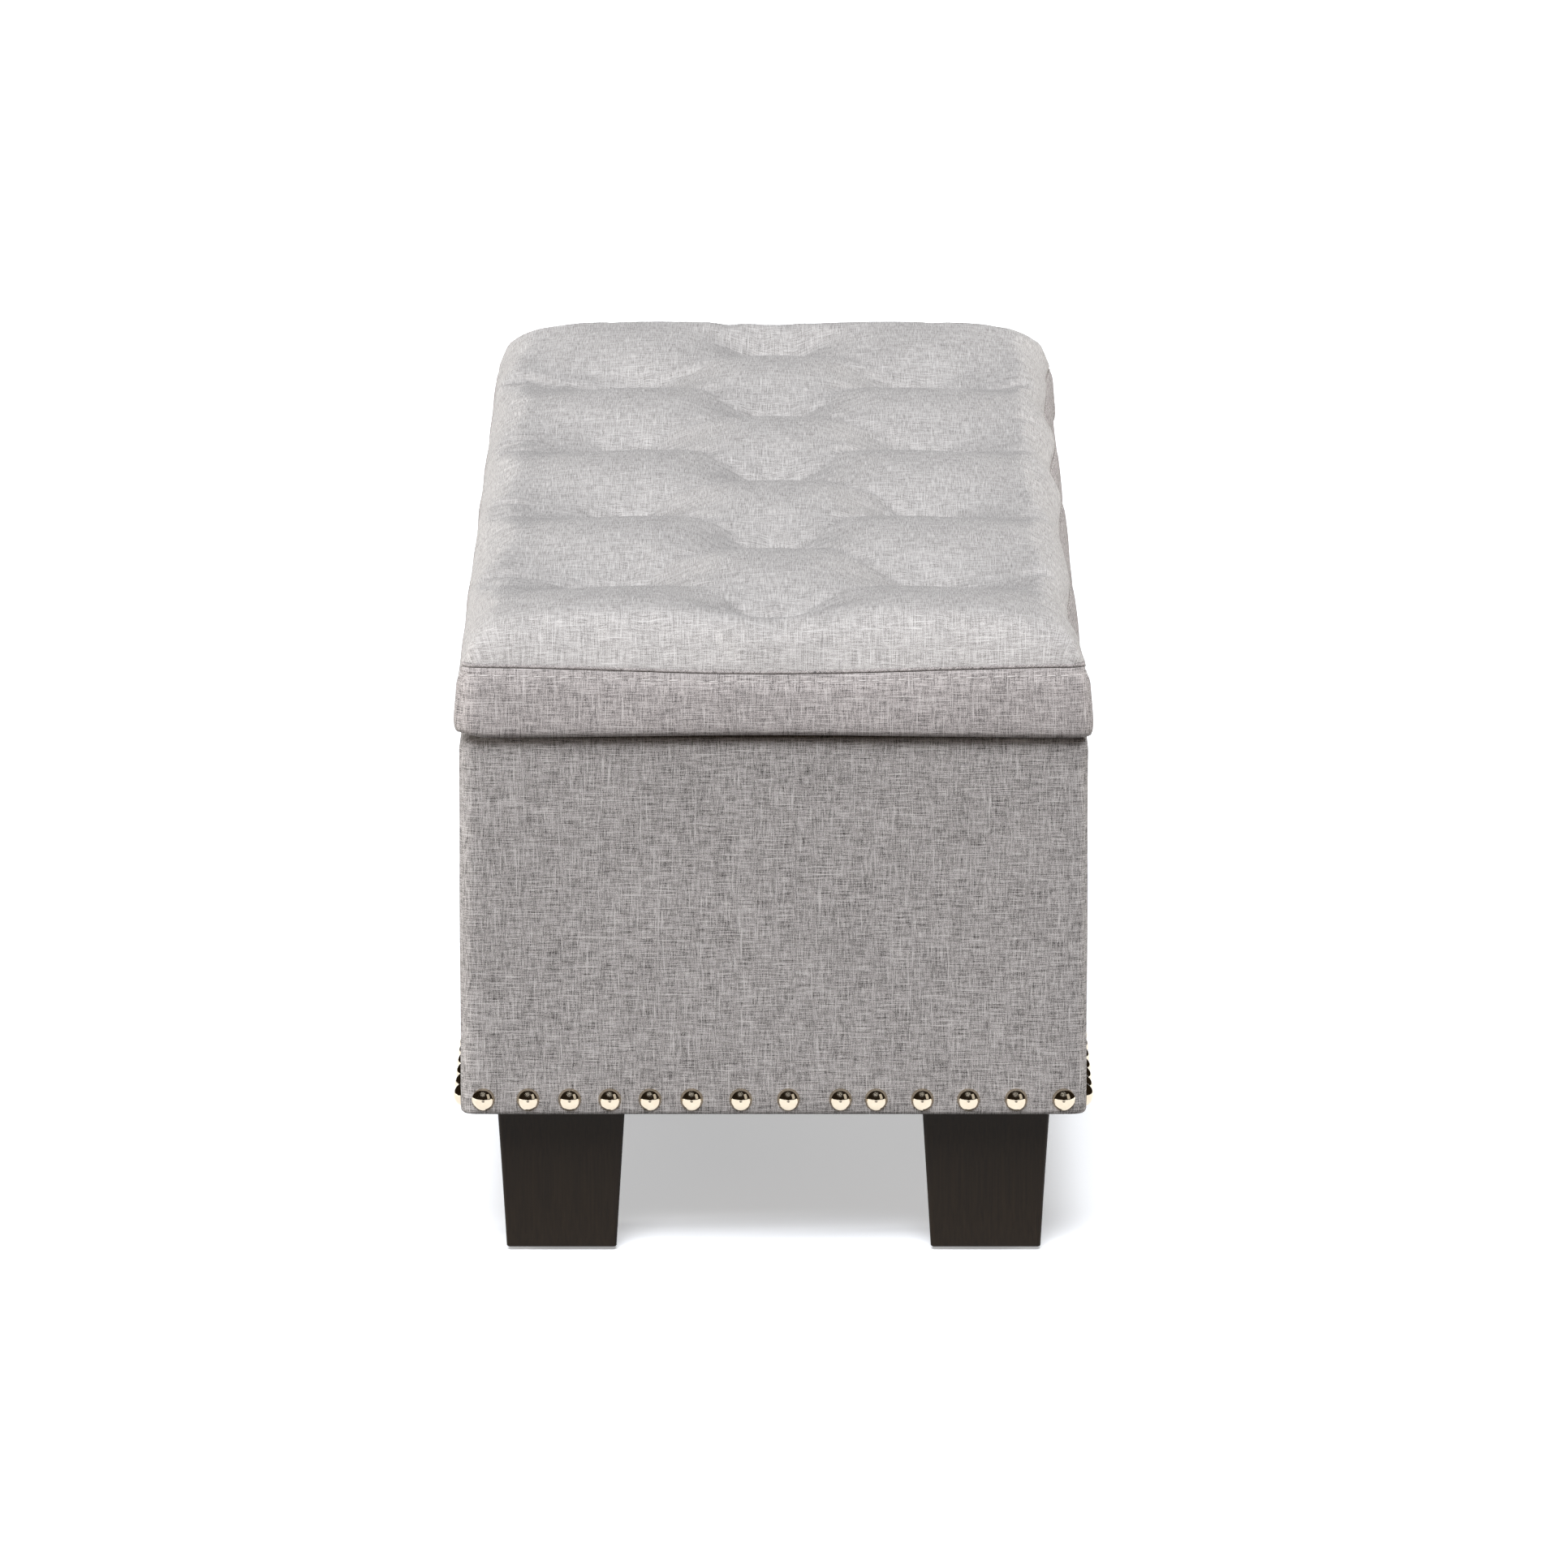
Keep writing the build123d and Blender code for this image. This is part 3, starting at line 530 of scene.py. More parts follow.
@dataclass
class LidBand:
    """Padded band of cloth round the lid, below the seam."""

    seam: SeamLine
    half_x: float = 605.0 * MM
    half_y: float = 211.2 * MM
    low: float = 363.3 * MM
    corner: float = 13 * MM
    tuck: float = 2.0 * MM  # foot turned in
    draw: float = 4.0 * MM  # top drawn in to the seam
    wall: float = 6.2 * MM
    rings: int = 13
    flare: float = 4.0 * MM  # foot of each end standing out
    drop: float = 2.9 * MM  # foot hanging below the board, ahead of the hinges
    drop_fade: float = 14 * MM
    arch: float = 1.9 * MM  # foot of each end lifted in the middle
    end_zone: tuple[float, float] = (20 * MM, 15 * MM)
    slack: float = 0.5 * MM  # loose waves of the cloth
    slack_run: tuple[float, float] = (37 * MM, 90 * MM)
    hinge_line: tuple[float, float] = (207.3 * MM, 361.05 * MM)
    hinge_places: tuple[float, ...] = (-430 * MM, 0.0, 430 * MM)
    hinge_half: float = 41 * MM
    hinge_room: float = 4.9 * MM

    def inset(self, level: np.ndarray) -> np.ndarray:
        """How far the band is drawn in at a level, 0 at its foot and 1 at the seam."""
        foot = self.tuck * np.exp(-level / 0.07)
        return foot + self.draw * smooth((level - 0.62) / 0.38) ** 2

    def face(self, p: np.ndarray) -> np.ndarray:
        """Move points of a plain band to its soft face.

        Args:
            p: points as rows, on the plain band.

        Returns:
            The moved points.
        """
        level = (p[:, 2] - self.low) / (self.seam.height - self.low)
        core_x, core_y = self.half_x - self.corner, self.half_y - self.corner
        out = np.zeros_like(p)
        out[:, 0] = p[:, 0] - np.clip(p[:, 0], -core_x, core_x)
        out[:, 1] = p[:, 1] - np.clip(p[:, 1], -core_y, core_y)
        out /= np.maximum(np.linalg.norm(out, axis=1), 1e-9)[:, None]
        around = np.where(np.abs(out[:, 0]) > np.abs(out[:, 1]), p[:, 1], p[:, 0])
        short, long = self.slack_run
        drift = self.slack * np.sin(around / short) * np.sin(2.2 * level + around / long)
        at_end = smooth((np.abs(p[:, 0]) - self.half_x + self.end_zone[0]) / self.end_zone[1])
        lean = self.flare * at_end * (1 - smooth(level))
        moved = p + out * (drift + lean - self.inset(np.clip(level, 0, 1)))[:, None]
        foot = 1 - smooth(level / 0.6)
        ahead = smooth((self.hinge_line[0] - p[:, 1]) / self.drop_fade)
        arch = self.arch * at_end * np.cos(math.pi * p[:, 1] / (2 * self.half_y)) ** 2
        moved[:, 2] += foot * (arch - self.drop * ahead)
        return moved + self.seam.shift(p) * smooth(level)[:, None]

    def clear_hinges(self, obj: bpy.types.Object) -> None:
        """Press the foot of the band round the hinge knuckles.

        Args:
            obj: the band with its wall.
        """
        p = coordinates(obj)
        hy, hz = self.hinge_line
        for place in self.hinge_places:
            dy, dz = p[:, 1] - hy, p[:, 2] - hz
            r = np.hypot(dy, dz)
            inside = (np.abs(p[:, 0] - place) < self.hinge_half) & (r < self.hinge_room)
            push = np.where(inside, self.hinge_room / np.maximum(r, 1e-6), 1.0)
            p[:, 1], p[:, 2] = hy + dy * push, hz + np.where(inside, np.abs(dz), dz) * push
        set_coordinates(obj, p)

    def build(self) -> bpy.types.Object:
        """Model the band.

        Returns:
            The finished piece.
        """
        obj = add_box("lid_band", (self.half_x, self.half_y), self.low, self.seam.height)
        select_edges(obj, upright)
        in_edit(obj, "EDGE", lambda: bpy.ops.mesh.bevel(offset=self.corner, segments=5, affect="EDGES"))
        select_faces(obj, lambda f: abs(f.normal.z) > 0.9)
        in_edit(obj, "FACE", lambda: bpy.ops.mesh.delete(type="ONLY_FACE"))
        select_edges(obj, upright)
        in_edit(obj, "EDGE", lambda: bpy.ops.mesh.subdivide(number_cuts=self.rings))
        refine(obj, BAND_EDGE)
        set_coordinates(obj, self.face(coordinates(obj)))
        apply_modifier(obj, "SOLIDIFY", thickness=self.wall, offset=-1)
        self.clear_hinges(obj)
        box_weave_map(obj)
        activate(obj)
        bpy.ops.object.shade_smooth()
        return obj


@dataclass
class SeamTrim:
    """Raised seam round the seat, and the row of stitches under it."""

    band: LidBand
    ridge: float = 1.15 * MM
    ridge_out: float = -0.7 * MM  # from the band's face
    ridge_lift: float = 1.3 * MM
    ridge_bias: float = 45.0  # its cloth is cut on the bias, in degrees
    stitch_drop: float = 5.0 * MM
    stitch_out: float = 0.1 * MM
    stitch_pitch: float = 9.0 * MM
    stitch: tuple[float, float, float] = (3.3 * MM, 0.45 * MM, 0.5 * MM)

    def loop(self, name: str, height: float, out: float) -> bpy.types.Object:
        """Closed curve round the band at a height.

        Args:
            name: name of the curve object.
            height: height before the band is softened.
            out: distance out from the band's face.

        Returns:
            The curve object.
        """
        bpy.ops.object.select_all(action="DESELECT")
        bpy.ops.mesh.primitive_plane_add(size=1, location=(0, 0, height))
        obj = bpy.context.object
        obj.name = name
        obj.scale = (2 * self.band.half_x, 2 * self.band.half_y, 1)
        bpy.ops.object.transform_apply(location=True, rotation=True, scale=True)

        def rounded() -> None:
            """Round the corners and leave only the outline."""
            bpy.ops.mesh.select_all(action="SELECT")
            bpy.ops.mesh.bevel(offset=self.band.corner, segments=6, affect="VERTICES")
            bpy.ops.mesh.delete(type="ONLY_FACE")

        in_edit(obj, "VERT", rounded)
        refine(obj, BAND_EDGE)
        p = coordinates(obj)
        core_x, core_y = self.band.half_x - self.band.corner, self.band.half_y - self.band.corner
        away = p.copy()
        away[:, 0] -= np.clip(p[:, 0], -core_x, core_x)
        away[:, 1] -= np.clip(p[:, 1], -core_y, core_y)
        away[:, 2] = 0
        away /= np.maximum(np.linalg.norm(away, axis=1), 1e-9)[:, None]
        set_coordinates(obj, self.band.face(p) + away * out)
        activate(obj)
        bpy.ops.object.convert(target="CURVE")
        return bpy.context.object

    def build_ridge(self) -> bpy.types.Object:
        """Model the raised seam.

        Returns:
            The finished piece.
        """
        obj = self.loop("seat_seam_ridge", self.band.seam.height, self.ridge_out)
        obj.data.bevel_depth = self.ridge
        obj.data.bevel_resolution = 2
        bpy.ops.object.convert(target="MESH")
        obj = bpy.context.object
        set_coordinates(obj, coordinates(obj) + np.array((0, 0, self.ridge_lift)))
        box_weave_map(obj, math.radians(self.ridge_bias))
        bpy.ops.object.shade_smooth()
        return obj

    def build_stitches(self) -> bpy.types.Object:
        """Model one stitch and run it round the band.

        Returns:
            The finished piece.
        """
        height = self.band.seam.height - self.stitch_drop
        path = self.loop("stitch_path", height, self.stitch_out)
        bpy.ops.object.select_all(action="DESELECT")
        bpy.ops.mesh.primitive_uv_sphere_add(segments=8, ring_count=6, radius=1)
        obj = bpy.context.object
        obj.name = obj.data.name = "band_stitches"
        obj.scale = self.stitch
        bpy.ops.object.transform_apply(location=True, rotation=True, scale=True)
        length = sum(spline.calc_length() for spline in path.data.splines)
        count = round(length / self.stitch_pitch)
        apply_modifier(
            obj,
            "ARRAY",
            count=count,
            use_relative_offset=False,
            use_constant_offset=True,
            constant_offset_displace=(length / count, 0, 0),
        )
        apply_modifier(obj, "CURVE", object=path, deform_axis="POS_X")
        bpy.data.objects.remove(path, do_unlink=True)
        activate(obj)
        bpy.ops.object.shade_smooth()
        return obj


@dataclass
class BodyCover:
    """Cloth pulled over the padded box, turned over its rim and under its foot."""

    half_x: float = 600 * MM
    half_y: float = 210 * MM
    low: float = 100.8 * MM
    high: float = 358.8 * MM
    corner: float = 10 * MM
    rim: float = 9.6 * MM
    hem: float = 3 * MM
    lining: tuple[float, float] = (581.8 * MM, 191.8 * MM)
    hem_width: float = 26 * MM
    cloth: float = 1.1 * MM
    edge: float = 14 * MM  # longest edge of its mesh
    pull: float = 0.7 * MM  # how far the flat sides wander
    wander: tuple[float, float, float] = (61 * MM, 140 * MM, 23 * MM)
    fullness: float = 0.35  # how much of the rim's round is left
    hinge_fade: float = 12 * MM

    def square_rim(self, obj: bpy.types.Object) -> None:
        """Fill the rounded rim out nearly to the sides, but not along the hinges.

        Args:
            obj: the cover.
        """
        p = coordinates(obj)
        near_top = p[:, 2] > self.high - self.rim - 0.1 * MM
        for axis, half, inner in ((0, self.half_x, self.lining[0]), (1, self.half_y, self.lining[1])):
            inset = half - np.abs(p[:, axis])
            border = half - inner
            fuller = np.interp(inset, (0, self.rim, border), (0, self.rim * self.fullness, border))
            ahead = smooth((self.half_y - self.rim - p[:, 1]) / self.hinge_fade)
            move = np.where(near_top & (inset < border), inset - fuller, 0) * ahead
            p[:, axis] += np.sign(p[:, axis]) * move
        set_coordinates(obj, p)

    def loosen(self, obj: bpy.types.Object) -> None:
        """Let the flat sides wander a little, taut again at the nails and the rim.

        Args:
            obj: the cover.
        """
        p = coordinates(obj)
        level = (p[:, 2] - self.low) / (self.high - self.low)
        free = smooth((level - 0.12) / 0.2) * smooth((0.93 - level) / 0.2)
        on_end = np.abs(p[:, 0]) > self.half_x - 1 * MM
        on_side = np.abs(p[:, 1]) > self.half_y - 1 * MM
        around = np.where(on_end, p[:, 1], p[:, 0])
        broad, slow, fine = self.wander
        slack = np.sin(around / broad + 1.1) * np.sin(4.5 * level + around / slow)
        slack += 0.5 * np.sin(around / fine) * np.sin(9 * level + 0.7)
        move = self.pull * free * (slack - 0.6) * 0.6
        p[:, 0] += np.where(on_end, np.sign(p[:, 0]) * move, 0)
        p[:, 1] += np.where(on_side & ~on_end, np.sign(p[:, 1]) * move, 0)
        set_coordinates(obj, p)

    def open_face(self, obj: bpy.types.Object, way: int, inset: float, hole: tuple[float, float]) -> None:
        """Cut the box's top or bottom back to a border of turned cloth.

        Args:
            obj: the box.
            way: 1 for the top, -1 for the bottom.
            inset: how far the flat face lies in from the sides.
            hole: half sizes of the opening.
        """
        shrink = (hole[0] / (self.half_x - inset), hole[1] / (self.half_y - inset), 1)

        def cut() -> None:
            """Shrink a copy of the face and take it away."""
            bpy.ops.mesh.extrude_region()
            bpy.ops.transform.resize(value=shrink, center_override=(0, 0, 0))
            bpy.ops.mesh.delete(type="FACE")

        select_faces(obj, lambda f: f.normal.z * way > 0.99 and f.area > 0.1)
        in_edit(obj, "FACE", cut)

    def build(self) -> bpy.types.Object:
        """Model the cover.

        Returns:
            The finished piece.
        """
        obj = add_box("body_upholstery", (self.half_x, self.half_y), self.low, self.high)
        select_edges(obj, upright)
        in_edit(obj, "EDGE", lambda: bpy.ops.mesh.bevel(offset=self.corner, segments=5, affect="EDGES"))
        select_edges(obj, lambda a, b: min(a[2], b[2]) > self.high - 1e-6)
        in_edit(obj, "EDGE", lambda: bpy.ops.mesh.bevel(offset=self.rim, segments=5, affect="EDGES"))
        select_edges(obj, lambda a, b: max(a[2], b[2]) < self.low + 1e-6)
        in_edit(obj, "EDGE", lambda: bpy.ops.mesh.bevel(offset=self.hem, segments=3, affect="EDGES"))
        self.open_face(obj, 1, self.rim, self.lining)
        self.open_face(obj, -1, self.hem, (self.half_x - self.hem_width, self.half_y - self.hem_width))
        refine(obj, self.edge)
        self.square_rim(obj)
        self.loosen(obj)
        apply_modifier(obj, "SOLIDIFY", thickness=self.cloth, offset=-1)
        box_weave_map(obj)
        activate(obj)
        bpy.ops.object.shade_smooth_by_angle(angle=math.radians(40))
        return obj


def node(
    tree: bpy.types.NodeTree,
    kind: str,
    inputs: dict[str | int, object] | None = None,
    **settings: object,
) -> bpy.types.Node:
    """Add a shader node with its settings, constants and links.

    Args:
        tree: node tree.
        kind: node type.
        inputs: socket to constant, or to the output socket that feeds it.
        settings: attributes of the node.

    Returns:
        The new node.
    """
    made = tree.nodes.new(kind)
    for key, value in settings.items():
        setattr(made, key, value)
    for key, value in (inputs or {}).items():
        if isinstance(value, bpy.types.NodeSocket):
            tree.links.new(value, made.inputs[key])
        else:
            made.inputs[key].default_value = value
    return made


def new_material(name: str) -> tuple[bpy.types.Material, bpy.types.NodeTree, bpy.types.Node]:
    """Start a material.

    Args:
        name: name of the real material.

    Returns:
        The material, its tree and its surface shader.
    """
    material = bpy.data.materials.new(name)
    material.use_nodes = True
    tree = material.node_tree
    return material, tree, tree.nodes["Principled BSDF"]


@dataclass(frozen=True)
class LinenWeave:
    """Plain-woven linen-look polyester: a fine speckle of heathered threads with pale slubs."""

    name: str = "linen_look_polyester_weave"
    dark: str = "#464240"
    light: str = "#bbb3ae"
    slub: str = "#c9c2bd"
    thread: float = 0.48 * MM  # spacing of the threads
    run: tuple[float, float] = (7 * MM, 13 * MM)  # length of a tone along warp and weft
    slub_width: float = 0.55 * MM
    slub_run: float = 26 * MM
    weft: float = 1.15  # weight beside the warp
    speck: float = 0.9
    cloud: float = 30 * MM
    cloud_weight: float = 0.1
    levels: tuple[float, float] = (1.245, 1.905)  # sums of the noise that show as dark and light
    bump: float = 0.3 * MM

    def streak(
        self,
        tree: bpy.types.NodeTree,
        across: float,
        along: float,
        turned: bool,
        detail: float,
        offset: float,
    ) -> bpy.types.NodeSocket:
        """Noise drawn out along one set of threads.

        Args:
            tree: node tree.
            across: size across the threads.
            along: size along the threads.
            turned: True for the threads that run along V.
            detail: octaves of noise.
            offset: shift that keeps two streaks apart.

        Returns:
            The noise socket.
        """
        cloth = node(tree, "ShaderNodeUVMap", uv_map="cloth")
        scale = (1 / across, 1 / along, 1) if turned else (1 / along, 1 / across, 1)
        fit = node(
            tree,
            "ShaderNodeMapping",
            {"Vector": cloth.outputs[0], "Scale": scale, "Location": (offset, offset, offset)},
        )
        inputs = {"Vector": fit.outputs[0], "Scale": 1, "Detail": detail, "Roughness": 0.6}
        return node(tree, "ShaderNodeTexNoise", inputs).outputs[0]

    def make(self) -> bpy.types.Material:
        """Build the material.

        Returns:
            The material.
        """
        material, tree, surface = new_material(self.name)
        warp = self.streak(tree, self.thread, self.run[0], True, 2, 1.3)
        weft = self.streak(tree, self.thread, self.run[1], False, 2, 4.1)
        speck = self.streak(tree, self.thread, self.thread * 1.6, False, 1, 7.9)
        cloud = self.streak(tree, self.cloud, self.cloud * 1.8, False, 3, 2.2)
        fine = warp
        for noise, weight in ((weft, self.weft), (speck, self.speck)):
            inputs = {0: noise, 1: weight, 2: fine}
            fine = node(tree, "ShaderNodeMath", inputs, operation="MULTIPLY_ADD").outputs[0]
        shade = node(
            tree, "ShaderNodeMath", {0: cloud, 1: self.cloud_weight, 2: fine}, operation="MULTIPLY_ADD"
        )
        level = node(
            tree,
            "ShaderNodeMapRange",
            {"Value": shade.outputs[0], "From Min": self.levels[0], "From Max": self.levels[1]},
        )
        base = node(
            tree,
            "ShaderNodeMix",
            {0: level.outputs[0], 6: linear(self.dark), 7: linear(self.light)},
            data_type="RGBA",
        )
        long_slub = self.streak(tree, self.slub_width, self.slub_run, False, 0, 5.7)
        tall_slub = self.streak(tree, self.slub_width, self.slub_run * 0.8, True, 0, 9.4)
        slub = node(tree, "ShaderNodeMath", {0: long_slub, 1: tall_slub}, operation="MAXIMUM")
        shown = node(
            tree,
            "ShaderNodeMapRange",
            {"Value": slub.outputs[0], "From Min": 0.64, "From Max": 0.82, "To Max": 0.55},
        )
        colour = node(
            tree,
            "ShaderNodeMix",
            {0: shown.outputs[0], 6: base.outputs[2], 7: linear(self.slub)},
            data_type="RGBA",
        )
        relief = node(tree, "ShaderNodeBump", {"Strength": 0.45, "Distance": self.bump, "Height": fine})
        tree.links.new(colour.outputs[2], surface.inputs["Base Color"])
        tree.links.new(relief.outputs[0], surface.inputs["Normal"])
        surface.inputs["Roughness"].default_value = 0.9
        surface.inputs["Specular IOR Level"].default_value = 0.1
        surface.inputs["Sheen Weight"].default_value = 0.04
        surface.inputs["Sheen Roughness"].default_value = 0.45
        return material


@dataclass(frozen=True)
class StainedWood:
    """Rubberwood under espresso stain and satin lacquer: nearly black, with faint upright grain."""

    name: str = "espresso_stained_rubberwood"
    dark: str = "#110d0a"
    light: str = "#261e15"
    grain: float = 1.6 * MM
    length: float = 60 * MM

    def make(self) -> bpy.types.Material:
        """Build the material.

        Returns:
            The material.
        """
        material, tree, surface = new_material(self.name)
        place = node(tree, "ShaderNodeTexCoord")
        scale = (1 / self.grain, 1 / self.grain, 1 / self.length)
        fit = node(tree, "ShaderNodeMapping", {"Vector": place.outputs["Object"], "Scale": scale})
        inputs = {"Vector": fit.outputs[0], "Scale": 1, "Detail": 4, "Distortion": 0.6}
        grain = node(tree, "ShaderNodeTexNoise", inputs)
        colour = node(
            tree,
            "ShaderNodeMix",
            {0: grain.outputs[0], 6: linear(self.dark), 7: linear(self.light)},
            data_type="RGBA",
        )
        inputs = {"Strength": 0.15, "Distance": 0.2 * MM, "Height": grain.outputs[0]}
        relief = node(tree, "ShaderNodeBump", inputs)
        tree.links.new(colour.outputs[2], surface.inputs["Base Color"])
        tree.links.new(relief.outputs[0], surface.inputs["Normal"])
        surface.inputs["Roughness"].default_value = 0.5
        surface.inputs["Specular IOR Level"].default_value = 0.15
        return material


@dataclass(frozen=True)
class Plain:
    """Finish without a pattern, such as plate, paint or felt: two near tones and an uneven gloss."""

    name: str
    colour: str
    shade: str
    roughness: float
    metallic: float = 0.0
    grain: float = 1.5 * MM  # size of the mottle
    relief: float = 0.0  # strength of its bump

    def make(self) -> bpy.types.Material:
        """Build the material.

        Returns:
            The material.
        """
        material, tree, surface = new_material(self.name)
        place = node(tree, "ShaderNodeTexCoord")
        inputs = {"Vector": place.outputs["Object"], "Scale": 1 / self.grain, "Detail": 2}
        mottle = node(tree, "ShaderNodeTexNoise", inputs)
        tone = node(
            tree,
            "ShaderNodeMix",
            {0: mottle.outputs[0], 6: linear(self.shade), 7: linear(self.colour)},
            data_type="RGBA",
        )
        low, high = 0.85 * self.roughness, 1.15 * self.roughness
        gloss = node(tree, "ShaderNodeMapRange", {"Value": mottle.outputs[0], "To Min": low, "To Max": high})
        tree.links.new(tone.outputs[2], surface.inputs["Base Color"])
        tree.links.new(gloss.outputs[0], surface.inputs["Roughness"])
        surface.inputs["Metallic"].default_value = self.metallic
        if self.relief:
            inputs = {"Strength": self.relief, "Distance": 0.3 * MM, "Height": mottle.outputs[0]}
            tree.links.new(node(tree, "ShaderNodeBump", inputs).outputs[0], surface.inputs["Normal"])
        return material


# nickel plate with an antique wash: warm and bright, with clear reflections
NICKEL = Plain("antique_nickel_plate", "#d4c8b4", "#c6b8a2", 0.08, 1.0, 4 * MM)
# hard chrome on ground rod: a clear mirror
CHROME = Plain("hard_chrome_rod", "#d9d9d7", "#d2d2d0", 0.1, 1.0, 1 * MM)
# zinc plate on pressed steel: pale and satin, a little cloudy
ZINC = Plain("zinc_plated_steel", "#bcbdbb", "#a3a5a3", 0.45, 0.6, 6 * MM)
# powder paint on tube: black, with a slight orange peel
PAINT = Plain("black_powder_paint", "#171717", "#111111", 0.4, 0.0, 0.6 * MM, 0.3)
# moulded nylon: dull black, finely textured by its mould
NYLON = Plain("moulded_nylon", "#1c1c1c", "#161616", 0.55, 0.0, 0.5 * MM, 0.2)
# soft rubber: dull black
RUBBER = Plain("soft_rubber", "#141414", "#0e0e0e", 0.8, 0.0, 0.8 * MM)
# spun-bonded felt: black, matt, a little fuzzy
FELT = Plain("spunbond_polypropylene", "#1f1f20", "#171718", 0.95, 0.0, 1.1 * MM, 0.3)
# raw plywood and pine: pale and matt, with flecks
PLY = Plain("birch_plywood", "#d2b38b", "#be9d73", 0.7, 0.0, 1.5 * MM, 0.3)
# open-cell foam: cream, matt and pitted
FOAM = Plain("polyurethane_foam", "#e6dfca", "#dfd8c1", 0.95, 0.0, 0.9 * MM, 0.3)
# waxed linen twine: straw-coloured strands
TWINE = Plain("waxed_linen_twine", "#c4b8a2", "#ada18b", 0.7, 0.0, 0.6 * MM, 0.2)
# spun polyester sewing thread: pale grey, slightly bright
THREAD = Plain("polyester_sewing_thread", "#beb8b3", "#b2aca7", 0.6, 0.0, 0.5 * MM)

# the cloth drawn over the crown, as a lighter, lower-contrast copy of the same cloth: its extra lightness is
# painted light on the top
SEAT_LINEN_PAINTED_LIGHT = LinenWeave("linen_look_polyester_weave_seat_painted_light", "#736f6b", "#c5c0bb", "#cecac5")
# the same cloth on the box, as a deeper and warmer copy of the lid's: its darkness is painted shade on the
# box's sides
BOX_LINEN_PAINTED_SHADE = LinenWeave("linen_look_polyester_weave_box_painted_shade", "#332f2c", "#b7b1ac", "#c4beb9")

SLOT_FINISH: dict[str, Plain | StainedWood | LinenWeave] = {
    "linen_weave": LinenWeave(),
    "foam": FOAM,
    "black_lining": FELT,
    "twine": TWINE,
    "plywood": PLY,
    "espresso_wood": StainedWood(),
    "nickel": NICKEL,
    "chrome": CHROME,
    "zinc_steel": ZINC,
    "black_paint": PAINT,
    "black_plastic": NYLON,
    "rubber": RUBBER,
}


def dress(obj: bpy.types.Object, material: bpy.types.Material) -> None:
    """Give a piece one material.

    Args:
        obj: the piece.
        material: its material.
    """
    if not obj.material_slots:
        obj.data.materials.append(material)
    for slot in obj.material_slots:
        slot.material = material


def seen_directly(tree: bpy.types.NodeTree) -> bpy.types.NodeSocket:
    """Tell a look at the backdrop from the light that it throws.

    Args:
        tree: node tree of the floor or the world.

    Returns:
        Socket that is 1 for the camera, a mirror or glass, and 0 for light.
    """
    path = node(tree, "ShaderNodeLightPath")
    straight = node(
        tree,
        "ShaderNodeMath",
        {0: path.outputs["Is Camera Ray"], 1: path.outputs["Is Glossy Ray"]},
        operation="MAXIMUM",
    )
    through = node(
        tree,
        "ShaderNodeMath",
        {0: straight.outputs[0], 1: path.outputs["Is Transmission Ray"]},
        operation="MAXIMUM",
    )
    return through.outputs[0]


@dataclass(frozen=True)
class Lamp:
    """Square lamp that looks at the bench."""

    name: str
    power: float
    colour: str
    size: float
    spot: tuple[float, float, float]
    aim: tuple[float, float, float] = (0.0, 0.0, 0.3)

    def build(self) -> None:
        """Hang the lamp, out of sight of the polished metal."""
        bpy.ops.object.light_add(type="AREA", location=self.spot)
        lamp = bpy.context.object
        lamp.name = self.name
        lamp.data.energy = self.power
        lamp.data.color = linear(self.colour)[:3]
        lamp.data.size = self.size
        lamp.visible_glossy = False
        way = Vector(self.aim) - Vector(self.spot)
        lamp.rotation_euler = way.to_track_quat("-Z", "Y").to_euler()


# low lamps that fill the box's sides and leave the shade in the tufts
FILLS = (
    Lamp("near_fill", 14.0, "#ffe2cc", 2.0, (-4.5, 1.0, 1.1)),
    Lamp("left_fill", 150.0, "#ffffff", 0.7, (-0.8, 4.0, 0.4)),
    Lamp("right_fill", 140.0, "#ffffff", 0.7, (0.4, -4.0, 0.4)),
    Lamp("rear_fill", 60.0, "#ffffff", 0.4, (4.0, 0.6, 0.22)),
)


